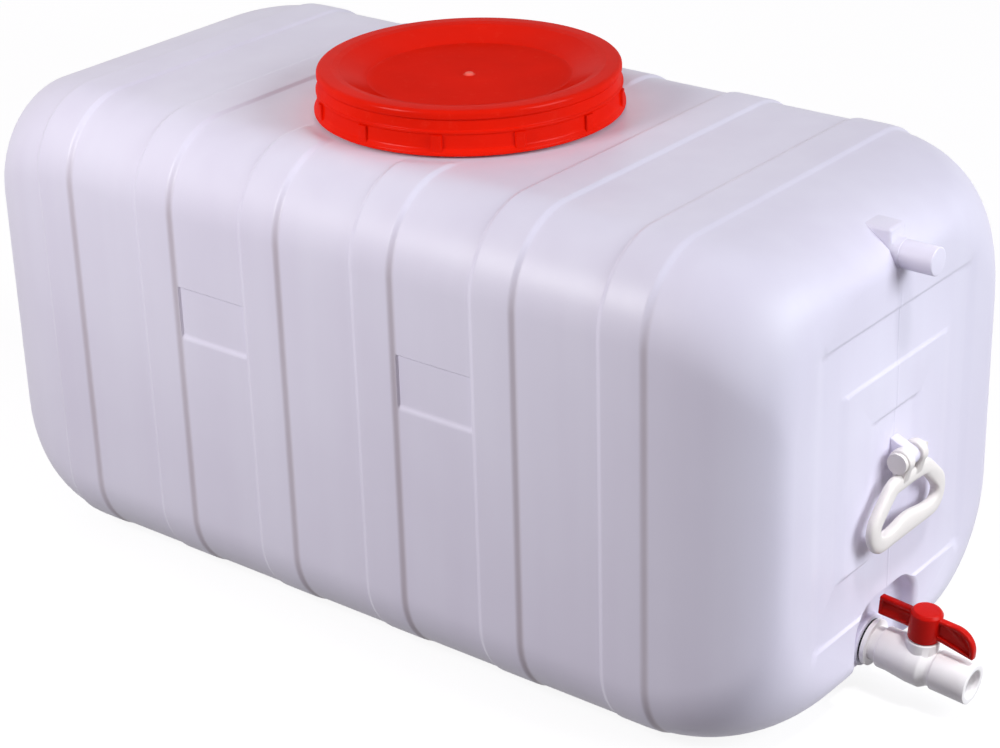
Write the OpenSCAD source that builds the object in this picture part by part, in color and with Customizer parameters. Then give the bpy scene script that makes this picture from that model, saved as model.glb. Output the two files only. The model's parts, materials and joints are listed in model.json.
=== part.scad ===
// Horizontal fresh water tank with a screw lid, a ball valve and two loop handles.
// Millimetres. X runs along the tank, towards the tap end. Z is up, from the flat underside.

/* [Tank] */
// Length over the two end faces
tank_l = 880; // [840:1:1000]
// Width over the ribs
tank_w = 434; // [400:1:520]
// Height over the ribs
tank_h = 447; // [420:1:520]
// Wall thickness of the moulding
wall = 4; // [3:0.5:5]
// Corner radius of the cross section
corner_r = 74; // [50:1:90]
// Corner radius of the flat end faces
end_corner_r = 104; // [80:1:115]
// Length of each rounded end
cap_l = 118; // [100:1:125]
// How far each side draws in over a rounded end
cap_side = 59; // [45:1:65]
// How far the top and the underside draw in over a rounded end
cap_rise = 52; // [45:1:58]

/* [Ribs] */
// Number of ribs round the tank
rib_count = 6; // [4:2:6]
// Distance from one rib to the next
rib_pitch = 127; // [110:1:130]
// Width of a rib's face
rib_w = 36; // [24:1:44]
// Height of a rib above the panels
rib_step = 2; // [1.5:0.5:5]
// Length of a rib's sloped flank
rib_flank = 4.5; // [2:0.5:6]

/* [Pockets and end panels] */
// Height of a label pocket on the long side
pocket_h = 51; // [30:1:80]
// Height of a label pocket's centre
pocket_z = 280; // [200:1:320]
// Depth of a label pocket
pocket_depth = 2; // [1:0.5:2.5]
// Margin between a pocket and the rib flanks beside it
pocket_margin = 1; // [1:0.5:6]
// Height of an end panel's top edge
panel_top_z = 360; // [330:1:370]
// Height of an end panel's bottom edge
panel_bottom_z = 90; // [85:1:100]
// Width of an end panel at its top edge
panel_top_w = 260; // [220:1:270]
// Width of an end panel at its bottom edge
panel_bottom_w = 246; // [220:1:260]
// Corner radius of an end panel
panel_r = 20; // [10:1:26]
// Depth of an end panel
panel_depth = 1.6; // [0.5:0.1:2]
// Width of the raised plate in an end panel
plate_w = 178; // [140:1:190]
// Height of that plate's top edge
plate_top_z = 311; // [290:1:320]
// Height of that plate's bottom edge
plate_bottom_z = 141; // [120:1:150]
// Width of the finger recess in that plate, behind the loop handle
finger_w = 84; // [60:1:130]
// Height of the finger recess's top edge
finger_top_z = 270; // [250:1:285]

/* [Neck and lid] */
// Outer radius of the filling neck
neck_r = 126; // [110:1:130]
// Wall thickness of the neck
neck_wall = 5; // [4:0.5:7]
// Height of the neck above its round seat
neck_h = 35.5; // [32:0.5:45]
// Depth of the round seat below the panels
seat_depth = 0.5; // [0.3:0.1:1]
// Width of the round seat outside the lid's edge
seat_margin = 11; // [8:0.5:14]
// Thread pitch, the rise of the lid in one turn
thread_pitch = 8; // [7:0.5:10]
// Depth of the thread ridges
thread_depth = 3.4; // [2.5:0.1:4]
// Radial clearance at the crests of the thread
thread_gap = 1.2; // [0.8:0.1:1.6]
// Height of the neck's thread above the seat, where it starts
thread_start = 14; // [12:0.5:18]
// Wall thickness of the lid's skirt
lid_wall = 4.6; // [3:0.1:6]
// Thickness of the lid's top
lid_plate = 3; // [2.5:0.5:4]
// Gap between the lid's lower edge and the seat
lid_gap = 2.5; // [1.5:0.5:4]
// How far the lower edge stands out of the skirt
lid_flange = 3.2; // [2:0.2:5]
// Radius of the dish floor
dish_r = 91; // [70:1:100]
// Depth of the dish below the rim
dish_depth = 12; // [6:0.5:16]
// Number of grip ribs on the skirt
grip_count = 12; // [6:1:24]
// Width of a grip rib
grip_w = 9; // [5:0.5:12]
// Height of a grip rib
grip_h = 17; // [10:1:22]
// Angle of the first grip rib
grip_turn = -3; // [-15:1:15]
// How far a grip rib stands out of the skirt
grip_out = 2.6; // [1.6:0.2:3]
// Radius of the nub in the middle of the dish
nub_r = 4; // [2:0.5:6]
// Height of that nub
nub_h = 2; // [1:0.5:3]
// Thickness of the lid gasket
gasket_t = 3; // [2:0.5:5]

/* [Vent stub] */
// Diameter of the vent stub
vent_d = 24; // [18:1:28]
// How far the stub's tip stands in front of the end face
vent_out = 31; // [25:1:40]
// Height of the stub's centre line
vent_z = 405; // [395:1:410]
// Width of the wedge over the stub's root
vent_pad_w = 34; // [30:1:40]
// Height of that wedge's top above the stub's centre line
vent_pad_rise = 23; // [20:1:25]
// How far that wedge's front lies behind the end face
vent_pad_back = 6; // [5:0.5:8]
// How far the collar at the stub's root stands out of the stub
vent_collar = 0.8; // [0.6:0.1:1.5]

/* [Loop handles] */
// Height of a loop handle's pin
pivot_z = 229; // [215:1:245]
// Distance of a loop handle's pin in front of the end face
pivot_out = 13; // [12.5:0.5:20]
// Radius of the pin
pin_r = 4; // [3:0.5:5]
// Radius of the lug round the pin
lug_r = 8; // [7:0.5:10]
// Thickness of the lug
lug_w = 12; // [8:0.5:16]
// Height of the lug's foot above the pin
lug_rise = 15; // [12:1:30]
// Depth of the lug's foot below the pin
lug_drop = 6.4; // [5:0.2:7]
// Gap between the lug and the loop's top bar
loop_drop = 3; // [2.5:0.5:6]
// Thickness of the loop
loop_t = 10; // [8:0.5:12]
// Width of the loop's bar
loop_bar = 15; // [12:0.5:17]
// Inner corner radius of the loop
loop_in_r = 7; // [5:0.5:10]
// Width of the grip opening at the bottom
grip_gap_w = 93; // [80:1:100]
// Width of the grip opening at the top
grip_gap_top_w = 56; // [46:1:64]
// Height of the grip opening
grip_gap_h = 31; // [28:1:42]
// Radius of the loop's ears round the pin
ear_r = 10.5; // [9:0.5:11]
// Thickness of an ear
ear_w = 9; // [6:0.5:12]
// Radius of the pin's head
pin_head_r = 9; // [7:0.5:10]
// Thickness of the pin's head and of its retainer
pin_head_t = 4; // [3:0.5:6]
// Side of the square retainer
pin_nut_side = 13; // [11:0.5:15]

/* [Tap hole and bulkhead fitting] */
// Height of the tap's centre line at the wall
tap_z = 43; // [41:1:46]
// How far the tap boss lies behind the end face
tap_back = 16; // [15:0.5:16.5]
// Tilt of the tap, nose down
tap_tilt = 5; // [0:0.5:5.5]
// Width of the recess round the tap
recess_w = 98; // [94:1:110]
// Height of that recess's top edge
recess_top_z = 98.5; // [97:0.5:104]
// Corner radius of that recess
recess_r = 30; // [20:1:34]
// Depth of that recess behind the end face
recess_depth = 19; // [18.5:0.5:20]
// Outer radius of the boss
boss_r = 24; // [23.5:0.5:25]
// Radius of the nipple
nipple_r = 13.1; // [12:0.1:14]
// Radius of the nipple's bore
nipple_bore_r = 8.5; // [7:0.5:9]
// Radius of the nipple's flange
nipple_flange_r = 21; // [20:0.5:23]
// Thickness of the nipple's flange
nipple_flange_t = 4; // [3:0.5:6]
// Radius of the nipple's shoulder between its flange and the valve
nipple_shoulder_r = 15.5; // [14.5:0.5:17]
// Length of that shoulder
nipple_shoulder_l = 8; // [6:0.5:9]
// Length of the nipple behind its lock nut
nipple_tail = 4; // [2:0.5:6]
// Thickness of the tap gaskets
tap_gasket_t = 2; // [1.5:0.5:3]
// Width across the flats of the lock nut
lock_nut_af = 32; // [30:0.5:34]
// Thickness of the lock nut
lock_nut_t = 8; // [6:0.5:12]

/* [Ball valve] */
// Length of the valve body
valve_l = 86; // [82:1:90]
// Radius of the body at its inlet
inlet_r = 18.7; // [18.5:0.1:19]
// Length of the plain inlet
inlet_l = 10; // [8:0.5:12]
// Radius of the body round the ball
barrel_r = 20.6; // [20:0.2:21.4]
// Length of the body's full width, to each side of the stem
barrel_half = 6; // [4:0.5:7]
// Radius of the outlet socket's outside
outlet_r = 18; // [16.5:0.5:19]
// Radius of the outlet socket's bore
outlet_bore_r = 12.55; // [12:0.05:14]
// Depth of the outlet socket
outlet_depth = 20; // [16:0.5:21]
// Radius of the waist between the body and the outlet
waist_r = 16.4; // [15:0.2:17]
// Length of the waist
waist_l = 4; // [3:0.5:5]
// Distance from the inlet end to the stem
stem_u = 35.5; // [35:0.5:38]
// Depth of the seat carrier's thread for the nipple
carrier_socket = 16; // [12:0.5:17]
// Wall thickness of the seat carrier
carrier_wall = 3.3; // [3:0.1:3.6]
// Distance of the carrier's O-ring from its inner end
carrier_oring_back = 4; // [3:0.5:5]
// Radius of the ball
ball_r = 12.5; // [11.5:0.5:13]
// Radius of the ball's bore
ball_bore_r = 7.5; // [6:0.5:8]
// Radial room round the ball
ball_room = 1.5; // [1:0.1:1.8]
// Radius of the stem
stem_r = 6; // [5:0.5:6.5]
// How far the stem's flange stands out of the stem
stem_flange_w = 1.2; // [0.8:0.1:1.6]
// Height of the stem's flange pocket above the ball chamber
stem_flange_h = 2; // [1.5:0.5:3]
// Radius of the shoulder below the handle's hub
stem_shoulder_r = 14.5; // [13:0.5:15.5]
// Height of that shoulder above the valve's centre line
stem_shoulder_h = 25; // [23:0.5:26]
// Radius of the neck round the stem
stem_neck_r = 10; // [9:0.5:11]
// Height of that neck above the valve's centre line
stem_neck_h = 36; // [32:0.5:38]
// Radius of the O-rings' section
oring_r = 0.65; // [0.5:0.05:0.8]

/* [Valve handle] */
// Radius of the hub
hub_r = 14; // [13:0.5:15]
// Height of the hub's top above the valve's centre line
hub_top = 53; // [51:0.5:54]
// Gap between the hub and the valve body
hub_gap = 0.8; // [0.5:0.1:1.5]
// Thickness of the hub over the stem
hub_cover = 4; // [3:0.5:5]
// Distance from the stem to the tip of the wing above the inlet
wing_l = 44; // [40:1:45]
// Height of a wing at the hub
wing_h = 18; // [14:0.5:20]
// Depth of the wings' top edge below the hub's top
wing_below = 4; // [2:0.5:5]
// Distance from the stem to the tip of the drooping wing above the outlet
leaf_l = 48; // [44:1:49]
// Depth of that wing's tip below its top edge
leaf_drop = 25; // [22:0.5:26]
// Radius of that wing's shoulder
leaf_r = 19; // [15:0.5:20]
// Thickness of a wing
wing_t = 7; // [5:0.5:9]

/* [Clearances] */
// Radial clearance of a pin or stem that turns
run_gap = 0.05; // [0.02:0.01:0.1]
// Clearance between a fixed thread and its hole
fit_gap = 0.1; // [0.05:0.05:0.2]
// Clearance between moving faces side by side
side_gap = 0.4; // [0.3:0.1:0.8]
// Clearance between the ball and its seats
seat_gap = 0.15; // [0.1:0.05:0.3]

/* [Hidden] */
$fn = 64;

// Small overlap that joins two solids of one piece, or carries a cut past a face
over = 1;

// Colours
tank_white = [0.83, 0.80, 0.88];
lid_red = [0.86, 0.13, 0.08];
pvc_white = [0.92, 0.91, 0.92];
rubber_black = [0.12, 0.12, 0.13];
seat_white = [0.95, 0.95, 0.93];

// Tank section and stations
arc_steps = 7;
ring_points = 4 * (arc_steps + 1);
cap_rings = 10;
cap_x0 = tank_l / 2 - cap_l;
rib_centres = [for (i = [0:rib_count - 1]) (i - (rib_count - 1) / 2) * rib_pitch];
panel_w = rib_pitch - rib_w - 2 * rib_flank;
side_y = tank_w / 2 - rib_step;

// Neck, thread and lid
seat_z = tank_h - rib_step - seat_depth;
neck_top = seat_z + neck_h;
neck_bore_r = neck_r - neck_wall;
lid_in_r = neck_r + thread_depth + thread_gap;
lid_r = lid_in_r + lid_wall;
lid_under = neck_top + gasket_t;
lid_top = lid_under + lid_plate;
lid_bottom = seat_z + lid_gap;
lip_r = neck_bore_r - lid_plate;
seat_r = lid_r + lid_flange + seat_margin;
thread_root_half = 1.9;
thread_crest_half = 0.9;
thread_bite = 0.5;
thread_step_deg = 5;

// Vent stub
vent_root_x = tank_l / 2 - 3 * vent_pad_back;
vent_collar_x = tank_l / 2 + over;
vent_tip_x = tank_l / 2 + vent_out;

// Loop handles
pivot_x = tank_l / 2 + pivot_out;
ear_in = lug_w / 2 + side_gap;
ear_out = ear_in + ear_w;
pin_end = ear_out + side_gap + pin_head_t;
loop_out_r = loop_in_r + loop_bar;
loop_top = -(lug_r + loop_drop);
loop_high = loop_top - loop_out_r;
loop_low = loop_high - (grip_gap_h - 2 * loop_in_r);
loop_wide = grip_gap_w / 2 - loop_in_r;
loop_narrow = grip_gap_top_w / 2 - loop_in_r;

// Tap, measured along its own tilted axis from the boss face
tap_x = tank_l / 2 - tap_back;
pocket_r = boss_r - wall;
boss_root = 1.6 * boss_r;
pocket_root = 3 * boss_r;
bore_root = 3 * wall;
flange_u = tap_gasket_t;
valve_u = flange_u + nipple_flange_t + nipple_shoulder_l;
stem_at = valve_u + stem_u;
mouth_u = valve_u + valve_l;
nipple_out_u = valve_u + carrier_socket - over;
inner_gasket_u = -wall - tap_gasket_t;
lock_nut_u = inner_gasket_u - lock_nut_t;
nipple_in_u = lock_nut_u - nipple_tail;
nipple_hole_r = nipple_r + fit_gap;

// Ball valve, inside
seat_reach = ball_r - over;
chamber_end = stem_at + seat_reach;
chamber_r = ball_r + ball_room;
carrier_end = stem_at - seat_reach;
carrier_r = nipple_hole_r + carrier_wall;
carrier_groove_r = carrier_r - 2 * oring_r - fit_gap;
carrier_groove_u = carrier_end - carrier_oring_back;
stem_flange_r = stem_r + stem_flange_w;
seat_l = seat_reach - stem_flange_r - side_gap;
stem_flange_top = chamber_r + stem_flange_h;
tang_l = 11;
tang_w = 5;
tang_depth = 4;
stem_groove_r = stem_r - 2 * oring_r - run_gap;
stem_groove_w = (stem_flange_top + stem_neck_h) / 2;
stem_top = hub_top - hub_cover;
hub_bottom = stem_shoulder_h + hub_gap;
wing_top = hub_top - wing_below;

// Points of a loft: one rounded rectangle a station, inside the outer skin by o

function inset(x, o) =
    abs(x) <= cap_x0 ? 0 : 1 - sqrt(max(0, 1 - pow((abs(x) - cap_x0) / (cap_l - o), 2)));

function ring(x, raised, o) =
    let (
        drop = raised ? 0 : rib_step,
        k = inset(x, o),
        r = corner_r + (end_corner_r - corner_r) * k - o,
        half = tank_w / 2 - drop - cap_side * k - o,
        high = tank_h - drop - cap_rise * k - o,
        low = cap_rise * k + o
    )
    [for (q = [0:3]) for (s = [0:arc_steps])
        let (
            a = 90 * (q + s / arc_steps),
            cy = (q == 0 || q == 3) ? half - r : r - half,
            cz = q < 2 ? high - r : low + r
        )
        [x, cy + r * cos(a), cz + r * sin(a)]];

function rib_stations(o) =
    let (shift = o * tan(atan2(rib_step, rib_flank) / 2), near = rib_w / 2 - shift)
    [for (c = rib_centres)
        each [
            [c - near - rib_flank, false], [c - near, true],
            [c + near, true], [c + near + rib_flank, false]
        ]];

function cap_stations(o, last) =
    let (first = asin(max(0, last - cap_x0) / (cap_l - o)))
    [for (k = [(last < cap_x0 - over ? 0 : 1):cap_rings])
        [cap_x0 + (cap_l - o) * sin(first + (90 - first) * k / cap_rings), false]];

function stations(o) =
    let (
        ribs = rib_stations(o),
        caps = cap_stations(o, ribs[len(ribs) - 1][0]),
        n = len(caps)
    )
    concat([for (i = [n - 1:-1:0]) [-caps[i][0], false]], ribs, caps);

module loft(o) {
    list = stations(o);
    n = ring_points;
    last = (len(list) - 1) * n;
    polyhedron(
        points = [for (s = list) each ring(s[0], s[1], o)],
        faces = concat(
            [[for (j = [0:n - 1]) j], [for (j = [n - 1:-1:0]) last + j]],
            [for (i = [0:len(list) - 2]) for (j = [0:n - 1])
                let (a = i * n + j, b = i * n + (j + 1) % n)
                each [[a, b + n, b], [a, a + n, b + n]]]
        )
    );
}

// One turn of a thread ridge, from its root radius to its crest radius
module thread_ridge(root, crest, z) {
    steps = 360 / thread_step_deg;
    inner = min(root, crest);
    outer = max(root, crest);
    half_in = root < crest ? thread_root_half : thread_crest_half;
    half_out = root < crest ? thread_crest_half : thread_root_half;
    section = [[inner, -half_in], [outer, -half_out], [outer, half_out], [inner, half_in]];
    polyhedron(
        points = [for (i = [0:steps]) for (p = section)
            let (a = i * thread_step_deg)
            [p[0] * cos(a), p[0] * sin(a), z + p[1] + thread_pitch * i / steps]],
        faces = concat(
            [[3, 2, 1, 0], [for (j = [0:3]) 4 * steps + j]],
            [for (i = [0:steps - 1]) for (j = [0:3])
                let (a = 4 * i + j, b = 4 * i + (j + 1) % 4)
                each [[a, b, b + 4], [a, b + 4, a + 4]]]
        )
    );
}

// Frames and small shapes

module at_tap() {
    translate([tap_x, 0, tap_z])
        rotate([0, tap_tilt, 0])
            children();
}

module along_x(from) {
    translate([from, 0, 0])
        rotate([0, 90, 0])
            children();
}

module rod_x(r, from, to) {
    along_x(from)
        cylinder(r = r, h = to - from);
}

module ring_x(r_out, r_in, from, to) {
    difference() {
        rod_x(r_out, from, to);
        rod_x(r_in, from - over, to + over);
    }
}

module rod_y(r, from, to) {
    translate([0, from, 0])
        rotate([-90, 0, 0])
            cylinder(r = r, h = to - from);
}

// A flat outline in Y and Z, given a thickness along X
module plate_x(from, to) {
    translate([from, 0, 0])
        rotate([90, 0, 90])
            linear_extrude(to - from)
                children();
}

module at_pivot() {
    translate([pivot_x, 0, pivot_z])
        children();
}

// The tank

module label_pocket(x) {
    w = panel_w - 2 * pocket_margin;
    translate([x - w / 2, -side_y - over, pocket_z - pocket_h / 2])
        cube([w, pocket_depth + over, pocket_h]);
}

module panel_outline() {
    hull() {
        for (side = [-1, 1]) {
            translate([side * (panel_top_w / 2 - panel_r), panel_top_z - panel_r])
                circle(panel_r, $fn = 32);
            translate([side * (panel_bottom_w / 2 - panel_r), panel_bottom_z + panel_r])
                circle(panel_r, $fn = 32);
        }
    }
}

module end_panel() {
    plate_x(tank_l / 2 - panel_depth, tank_l / 2 + over) {
        difference() {
            panel_outline();
            translate([-plate_w / 2, plate_bottom_z])
                square([plate_w, plate_top_z - plate_bottom_z]);
        }
        translate([-finger_w / 2, plate_bottom_z - over])
            square([finger_w, finger_top_z - plate_bottom_z + over]);
    }
}

module handle_lug() {
    root = -pivot_out - wall + over;
    at_pivot()
        rotate([90, 0, 0])
            linear_extrude(lug_w, center = true) {
                circle(lug_r);
                polygon([
                    [root, -lug_drop], [0, -lug_drop],
                    [lug_r / 2, lug_r / 2], [root, lug_rise]
                ]);
            }
}

module vent_block(o) {
    front = tank_l / 2 - vent_pad_back - o;
    translate([cap_x0, o - vent_pad_w / 2, vent_z])
        cube([front - cap_x0, vent_pad_w - 2 * o, vent_pad_rise - o]);
}

// The arched recess round the tap, grown on every side by o
module tap_recess(o) {
    half = recess_w / 2 + o;
    r = recess_r + o;
    plate_x(tank_l / 2 - recess_depth - o, tank_l / 2 + over)
        hull() {
            for (side = [-1, 1]) {
                translate([side * (half - r), recess_top_z + o - r])
                    circle(r, $fn = 48);
            }
            translate([-half, -over])
                square([2 * half, over]);
        }
}

module tank_outside() {
    difference() {
        loft(0);
        translate([0, 0, seat_z])
            cylinder(r = seat_r, h = tank_h);
        label_pocket(-rib_pitch);
        label_pocket(rib_pitch);
        end_panel();
        mirror([1, 0, 0])
            end_panel();
        tap_recess(0);
    }
    translate([0, 0, seat_z - wall / 2])
        cylinder(r = neck_r, h = neck_h + wall / 2);
    thread_ridge(neck_r - thread_bite, neck_r + thread_depth, seat_z + thread_start);
    handle_lug();
    mirror([1, 0, 0])
        handle_lug();
    vent_block(0);
    translate([0, 0, vent_z]) {
        rod_x(vent_d / 2 + vent_collar, vent_root_x, vent_collar_x);
        rod_x(vent_d / 2, vent_root_x, vent_tip_x);
    }
    at_tap()
        rod_x(boss_r, -boss_root, 0);
}

module tank_inside() {
    difference() {
        loft(wall);
        tap_recess(wall);
    }
    translate([0, 0, seat_z - bore_root])
        cylinder(r = neck_bore_r, h = neck_h + bore_root + over);
    vent_block(wall);
    translate([0, 0, vent_z])
        rod_x(vent_d / 2 - wall, cap_x0, vent_tip_x - wall);
    at_tap() {
        rod_x(pocket_r, -pocket_root, -wall);
        rod_x(nipple_hole_r, -wall - over, over);
    }
}

module tank_shell() {
    color(tank_white)
        difference() {
            tank_outside();
            tank_inside();
            for (side = [0, 1]) {
                mirror([side, 0, 0])
                    at_pivot()
                        rod_y(pin_r + run_gap, -lug_w, lug_w);
            }
        }
}

// The lid and its gasket

module lid_profile() {
    rim = 3;
    skirt_top = lid_bottom + grip_h + rim;
    polygon([
        [0, lid_top - dish_depth],
        [dish_r, lid_top - dish_depth],
        [lip_r - rim / 2, lid_top - rim / 3],
        [lip_r + rim, lid_top],
        [lid_r - rim, lid_top],
        [lid_r - rim / 3, lid_top - rim / 3],
        [lid_r, lid_top - rim],
        [lid_r, lid_top - 2 * rim],
        [lid_r - rim / 3, lid_top - 2.5 * rim],
        [lid_r + rim / 3, skirt_top],
        [lid_r + rim / 3, lid_bottom + rim + lid_flange],
        [lid_r + lid_flange, lid_bottom + rim],
        [lid_r + lid_flange, lid_bottom],
        [lid_in_r, lid_bottom],
        [lid_in_r, lid_under],
        [lip_r - rim / 2, lid_under],
        [dish_r - rim / 2, lid_top - dish_depth - lid_plate],
        [0, lid_top - dish_depth - lid_plate]
    ]);
}

module lid() {
    color(lid_red) {
        rotate_extrude()
            lid_profile();
        translate([0, 0, lid_top - dish_depth - over])
            cylinder(r = nub_r, h = nub_h + over);
        for (i = [0:grip_count - 1]) {
            rotate([0, 0, grip_turn + 360 * i / grip_count])
                translate([lid_r - over, -grip_w / 2, lid_bottom + over])
                    cube([over + grip_out, grip_w, grip_h]);
        }
        thread_ridge(
            lid_in_r + thread_bite, neck_r + thread_gap,
            seat_z + thread_start - thread_pitch / 2
        );
    }
}

module lid_gasket() {
    color(rubber_black)
        translate([0, 0, neck_top])
            difference() {
                cylinder(r = lid_in_r - side_gap, h = gasket_t);
                translate([0, 0, -over])
                    cylinder(r = lip_r + side_gap, h = gasket_t + 2 * over);
            }
}

// The loop handles

module loop_outline(r) {
    hull() {
        for (side = [-1, 1]) {
            translate([side * loop_wide, loop_low])
                circle(r, $fn = 32);
            translate([side * loop_narrow, loop_high])
                circle(r, $fn = 32);
        }
    }
}

module loop_handle() {
    color(pvc_white)
        at_pivot()
            difference() {
                union() {
                    plate_x(-loop_t / 2, loop_t / 2)
                        difference() {
                            loop_outline(loop_out_r);
                            loop_outline(loop_in_r);
                        }
                    for (side = [0, 1]) {
                        mirror([0, side, 0]) {
                            rod_y(ear_r, ear_in, ear_out);
                            translate([-loop_t / 2, ear_in, loop_top - loop_bar / 2])
                                cube([loop_t, ear_w, loop_bar / 2 - loop_top]);
                        }
                    }
                }
                rod_y(pin_r + run_gap, -ear_out - over, ear_out + over);
            }
}

module handle_pin() {
    color(pvc_white)
        at_pivot() {
            rod_y(pin_r, -pin_end + over, pin_end);
            rod_y(pin_head_r, -pin_end, pin_head_t - pin_end);
        }
}

module pin_nut() {
    color(pvc_white)
        at_pivot()
            difference() {
                translate([-pin_nut_side / 2, pin_end - pin_head_t, -pin_nut_side / 2])
                    cube([pin_nut_side, pin_head_t, pin_nut_side]);
                rod_y(pin_r + run_gap, 0, pin_end + over);
            }
}

// The bulkhead fitting

module tap_nipple() {
    color(pvc_white)
        at_tap()
            difference() {
                union() {
                    rod_x(nipple_r, nipple_in_u, nipple_out_u);
                    rod_x(nipple_flange_r, flange_u, flange_u + nipple_flange_t);
                    rod_x(nipple_shoulder_r, flange_u, valve_u);
                }
                rod_x(nipple_bore_r, nipple_in_u - over, nipple_out_u + over);
            }
}

module tap_gasket_outer() {
    color(rubber_black)
        at_tap()
            ring_x(nipple_flange_r - over, nipple_hole_r, 0, tap_gasket_t);
}

module tap_gasket_inner() {
    color(rubber_black)
        at_tap()
            ring_x(lock_nut_af / 2, nipple_hole_r, inner_gasket_u, -wall);
}

module tap_lock_nut() {
    color(pvc_white)
        at_tap()
            difference() {
                along_x(lock_nut_u)
                    cylinder(r = lock_nut_af / sqrt(3), h = lock_nut_t, $fn = 6);
                rod_x(nipple_hole_r, lock_nut_u - over, inner_gasket_u + over);
            }
}

// The ball valve

module valve_outline() {
    waist_end = chamber_end + waist_l;
    polygon([
        [0, valve_u],
        [inlet_r, valve_u],
        [inlet_r, valve_u + inlet_l],
        [barrel_r, stem_at - barrel_half],
        [barrel_r, stem_at + barrel_half],
        [waist_r, chamber_end + over],
        [waist_r, waist_end],
        [outlet_r, waist_end + outlet_r - waist_r],
        [outlet_r, mouth_u],
        [0, mouth_u]
    ]);
}

module at_stem() {
    translate([stem_at, 0, 0])
        children();
}

module valve_body() {
    color(pvc_white)
        at_tap()
            difference() {
                union() {
                    along_x(0)
                        rotate_extrude()
                            valve_outline();
                    at_stem() {
                        cylinder(r = stem_shoulder_r, h = stem_shoulder_h);
                        cylinder(r = stem_neck_r, h = stem_neck_h);
                    }
                }
                rod_x(carrier_r + fit_gap, valve_u - over, carrier_end);
                rod_x(chamber_r, carrier_end - over, chamber_end);
                rod_x(ball_bore_r, chamber_end - over, mouth_u);
                rod_x(outlet_bore_r, mouth_u - outlet_depth, mouth_u + over);
                at_stem() {
                    cylinder(r = stem_r + run_gap, h = stem_neck_h + over);
                    cylinder(r = stem_flange_r + fit_gap, h = stem_flange_top);
                }
            }
}

module valve_seat_carrier() {
    groove_l = 2 * (oring_r + fit_gap);
    color(pvc_white)
        at_tap()
            difference() {
                rod_x(carrier_r, valve_u, carrier_end);
                rod_x(nipple_hole_r, valve_u - over, valve_u + carrier_socket);
                rod_x(ball_bore_r, valve_u, carrier_end + over);
                translate([carrier_groove_u, 0, 0])
                    ring_x(carrier_r + over, carrier_groove_r, -groove_l / 2, groove_l / 2);
            }
}

module oring(r) {
    rotate_extrude()
        translate([r, 0])
            circle(oring_r, $fn = 24);
}

module carrier_oring() {
    color(rubber_black)
        at_tap()
            along_x(carrier_groove_u)
                oring(carrier_groove_r + oring_r + fit_gap / 2);
}

module ball_seat(from) {
    color(seat_white)
        at_tap()
            difference() {
                ring_x(chamber_r - fit_gap, ball_bore_r, from, from + seat_l);
                at_stem()
                    sphere(r = ball_r + seat_gap);
            }
}

module ball_seat_inlet() {
    ball_seat(carrier_end);
}

module ball_seat_outlet() {
    ball_seat(chamber_end - seat_l);
}

module valve_ball() {
    color(pvc_white)
        at_tap()
            at_stem()
                difference() {
                    sphere(r = ball_r);
                    rod_x(ball_bore_r, -2 * ball_r, 2 * ball_r);
                    translate([0, 0, ball_r])
                        cube([tang_l + 2 * fit_gap, tang_w + 2 * fit_gap, 2 * tang_depth], center = true);
                }
}

module valve_stem() {
    groove_l = 2 * (oring_r + fit_gap);
    tang_low = ball_r - tang_depth + fit_gap;
    flange_low = ball_r + side_gap;
    color(pvc_white)
        at_tap()
            at_stem()
                difference() {
                    union() {
                        translate([0, 0, flange_low])
                            cylinder(r = stem_r, h = stem_top - flange_low);
                        translate([0, 0, flange_low])
                            cylinder(r = stem_flange_r, h = stem_flange_top - fit_gap - flange_low);
                        translate([-tang_l / 2, -tang_w / 2, tang_low])
                            cube([tang_l, tang_w, flange_low + over - tang_low]);
                    }
                    translate([0, 0, stem_groove_w - groove_l / 2])
                        difference() {
                            cylinder(r = stem_r + over, h = groove_l);
                            translate([0, 0, -over])
                                cylinder(r = stem_groove_r, h = groove_l + 2 * over);
                        }
                }
}

module stem_oring() {
    color(rubber_black)
        at_tap()
            at_stem()
                translate([0, 0, stem_groove_w])
                    oring(stem_groove_r + oring_r + run_gap);
}

// The red handle

module upright_plate(t) {
    rotate([90, 0, 0])
        linear_extrude(t, center = true)
            children();
}

module straight_wing() {
    upright_plate(wing_t)
        translate([-wing_l, wing_top - wing_h])
            square([wing_l, wing_h]);
}

module drooping_wing() {
    upright_plate(wing_t)
        polygon(concat(
            [[0, wing_top - wing_h], [leaf_l, wing_top - leaf_drop]],
            [for (a = [0:10:90])
                [leaf_l - leaf_r + leaf_r * cos(a), wing_top - leaf_r + leaf_r * sin(a)]],
            [[0, wing_top]]
        ));
}

module valve_handle() {
    color(lid_red)
        at_tap()
            at_stem()
                difference() {
                    union() {
                        translate([0, 0, hub_bottom])
                            cylinder(r = hub_r, h = hub_top - hub_bottom);
                        straight_wing();
                        drooping_wing();
                    }
                    cylinder(r = stem_neck_r + side_gap, h = stem_neck_h + side_gap);
                    cylinder(r = stem_r + fit_gap, h = stem_top + fit_gap);
                }
}

tank_shell();
lid();
lid_gasket();
loop_handle();  // carry_handle_tap_end
handle_pin();  // handle_pin_tap_end
pin_nut();  // pin_nut_tap_end
mirror([1, 0, 0]) loop_handle();  // carry_handle_far_end
mirror([1, 0, 0]) handle_pin();  // handle_pin_far_end
mirror([1, 0, 0]) pin_nut();  // pin_nut_far_end
tap_nipple();
tap_gasket_outer();
tap_gasket_inner();
tap_lock_nut();
valve_body();
valve_seat_carrier();
carrier_oring();
valve_ball();
ball_seat_inlet();
ball_seat_outlet();
valve_stem();
stem_oring();
valve_handle();
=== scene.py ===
"""Looks of a ribbed fresh water tank with a screw lid, a ball valve and two loop handles."""

import json
import math

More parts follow.
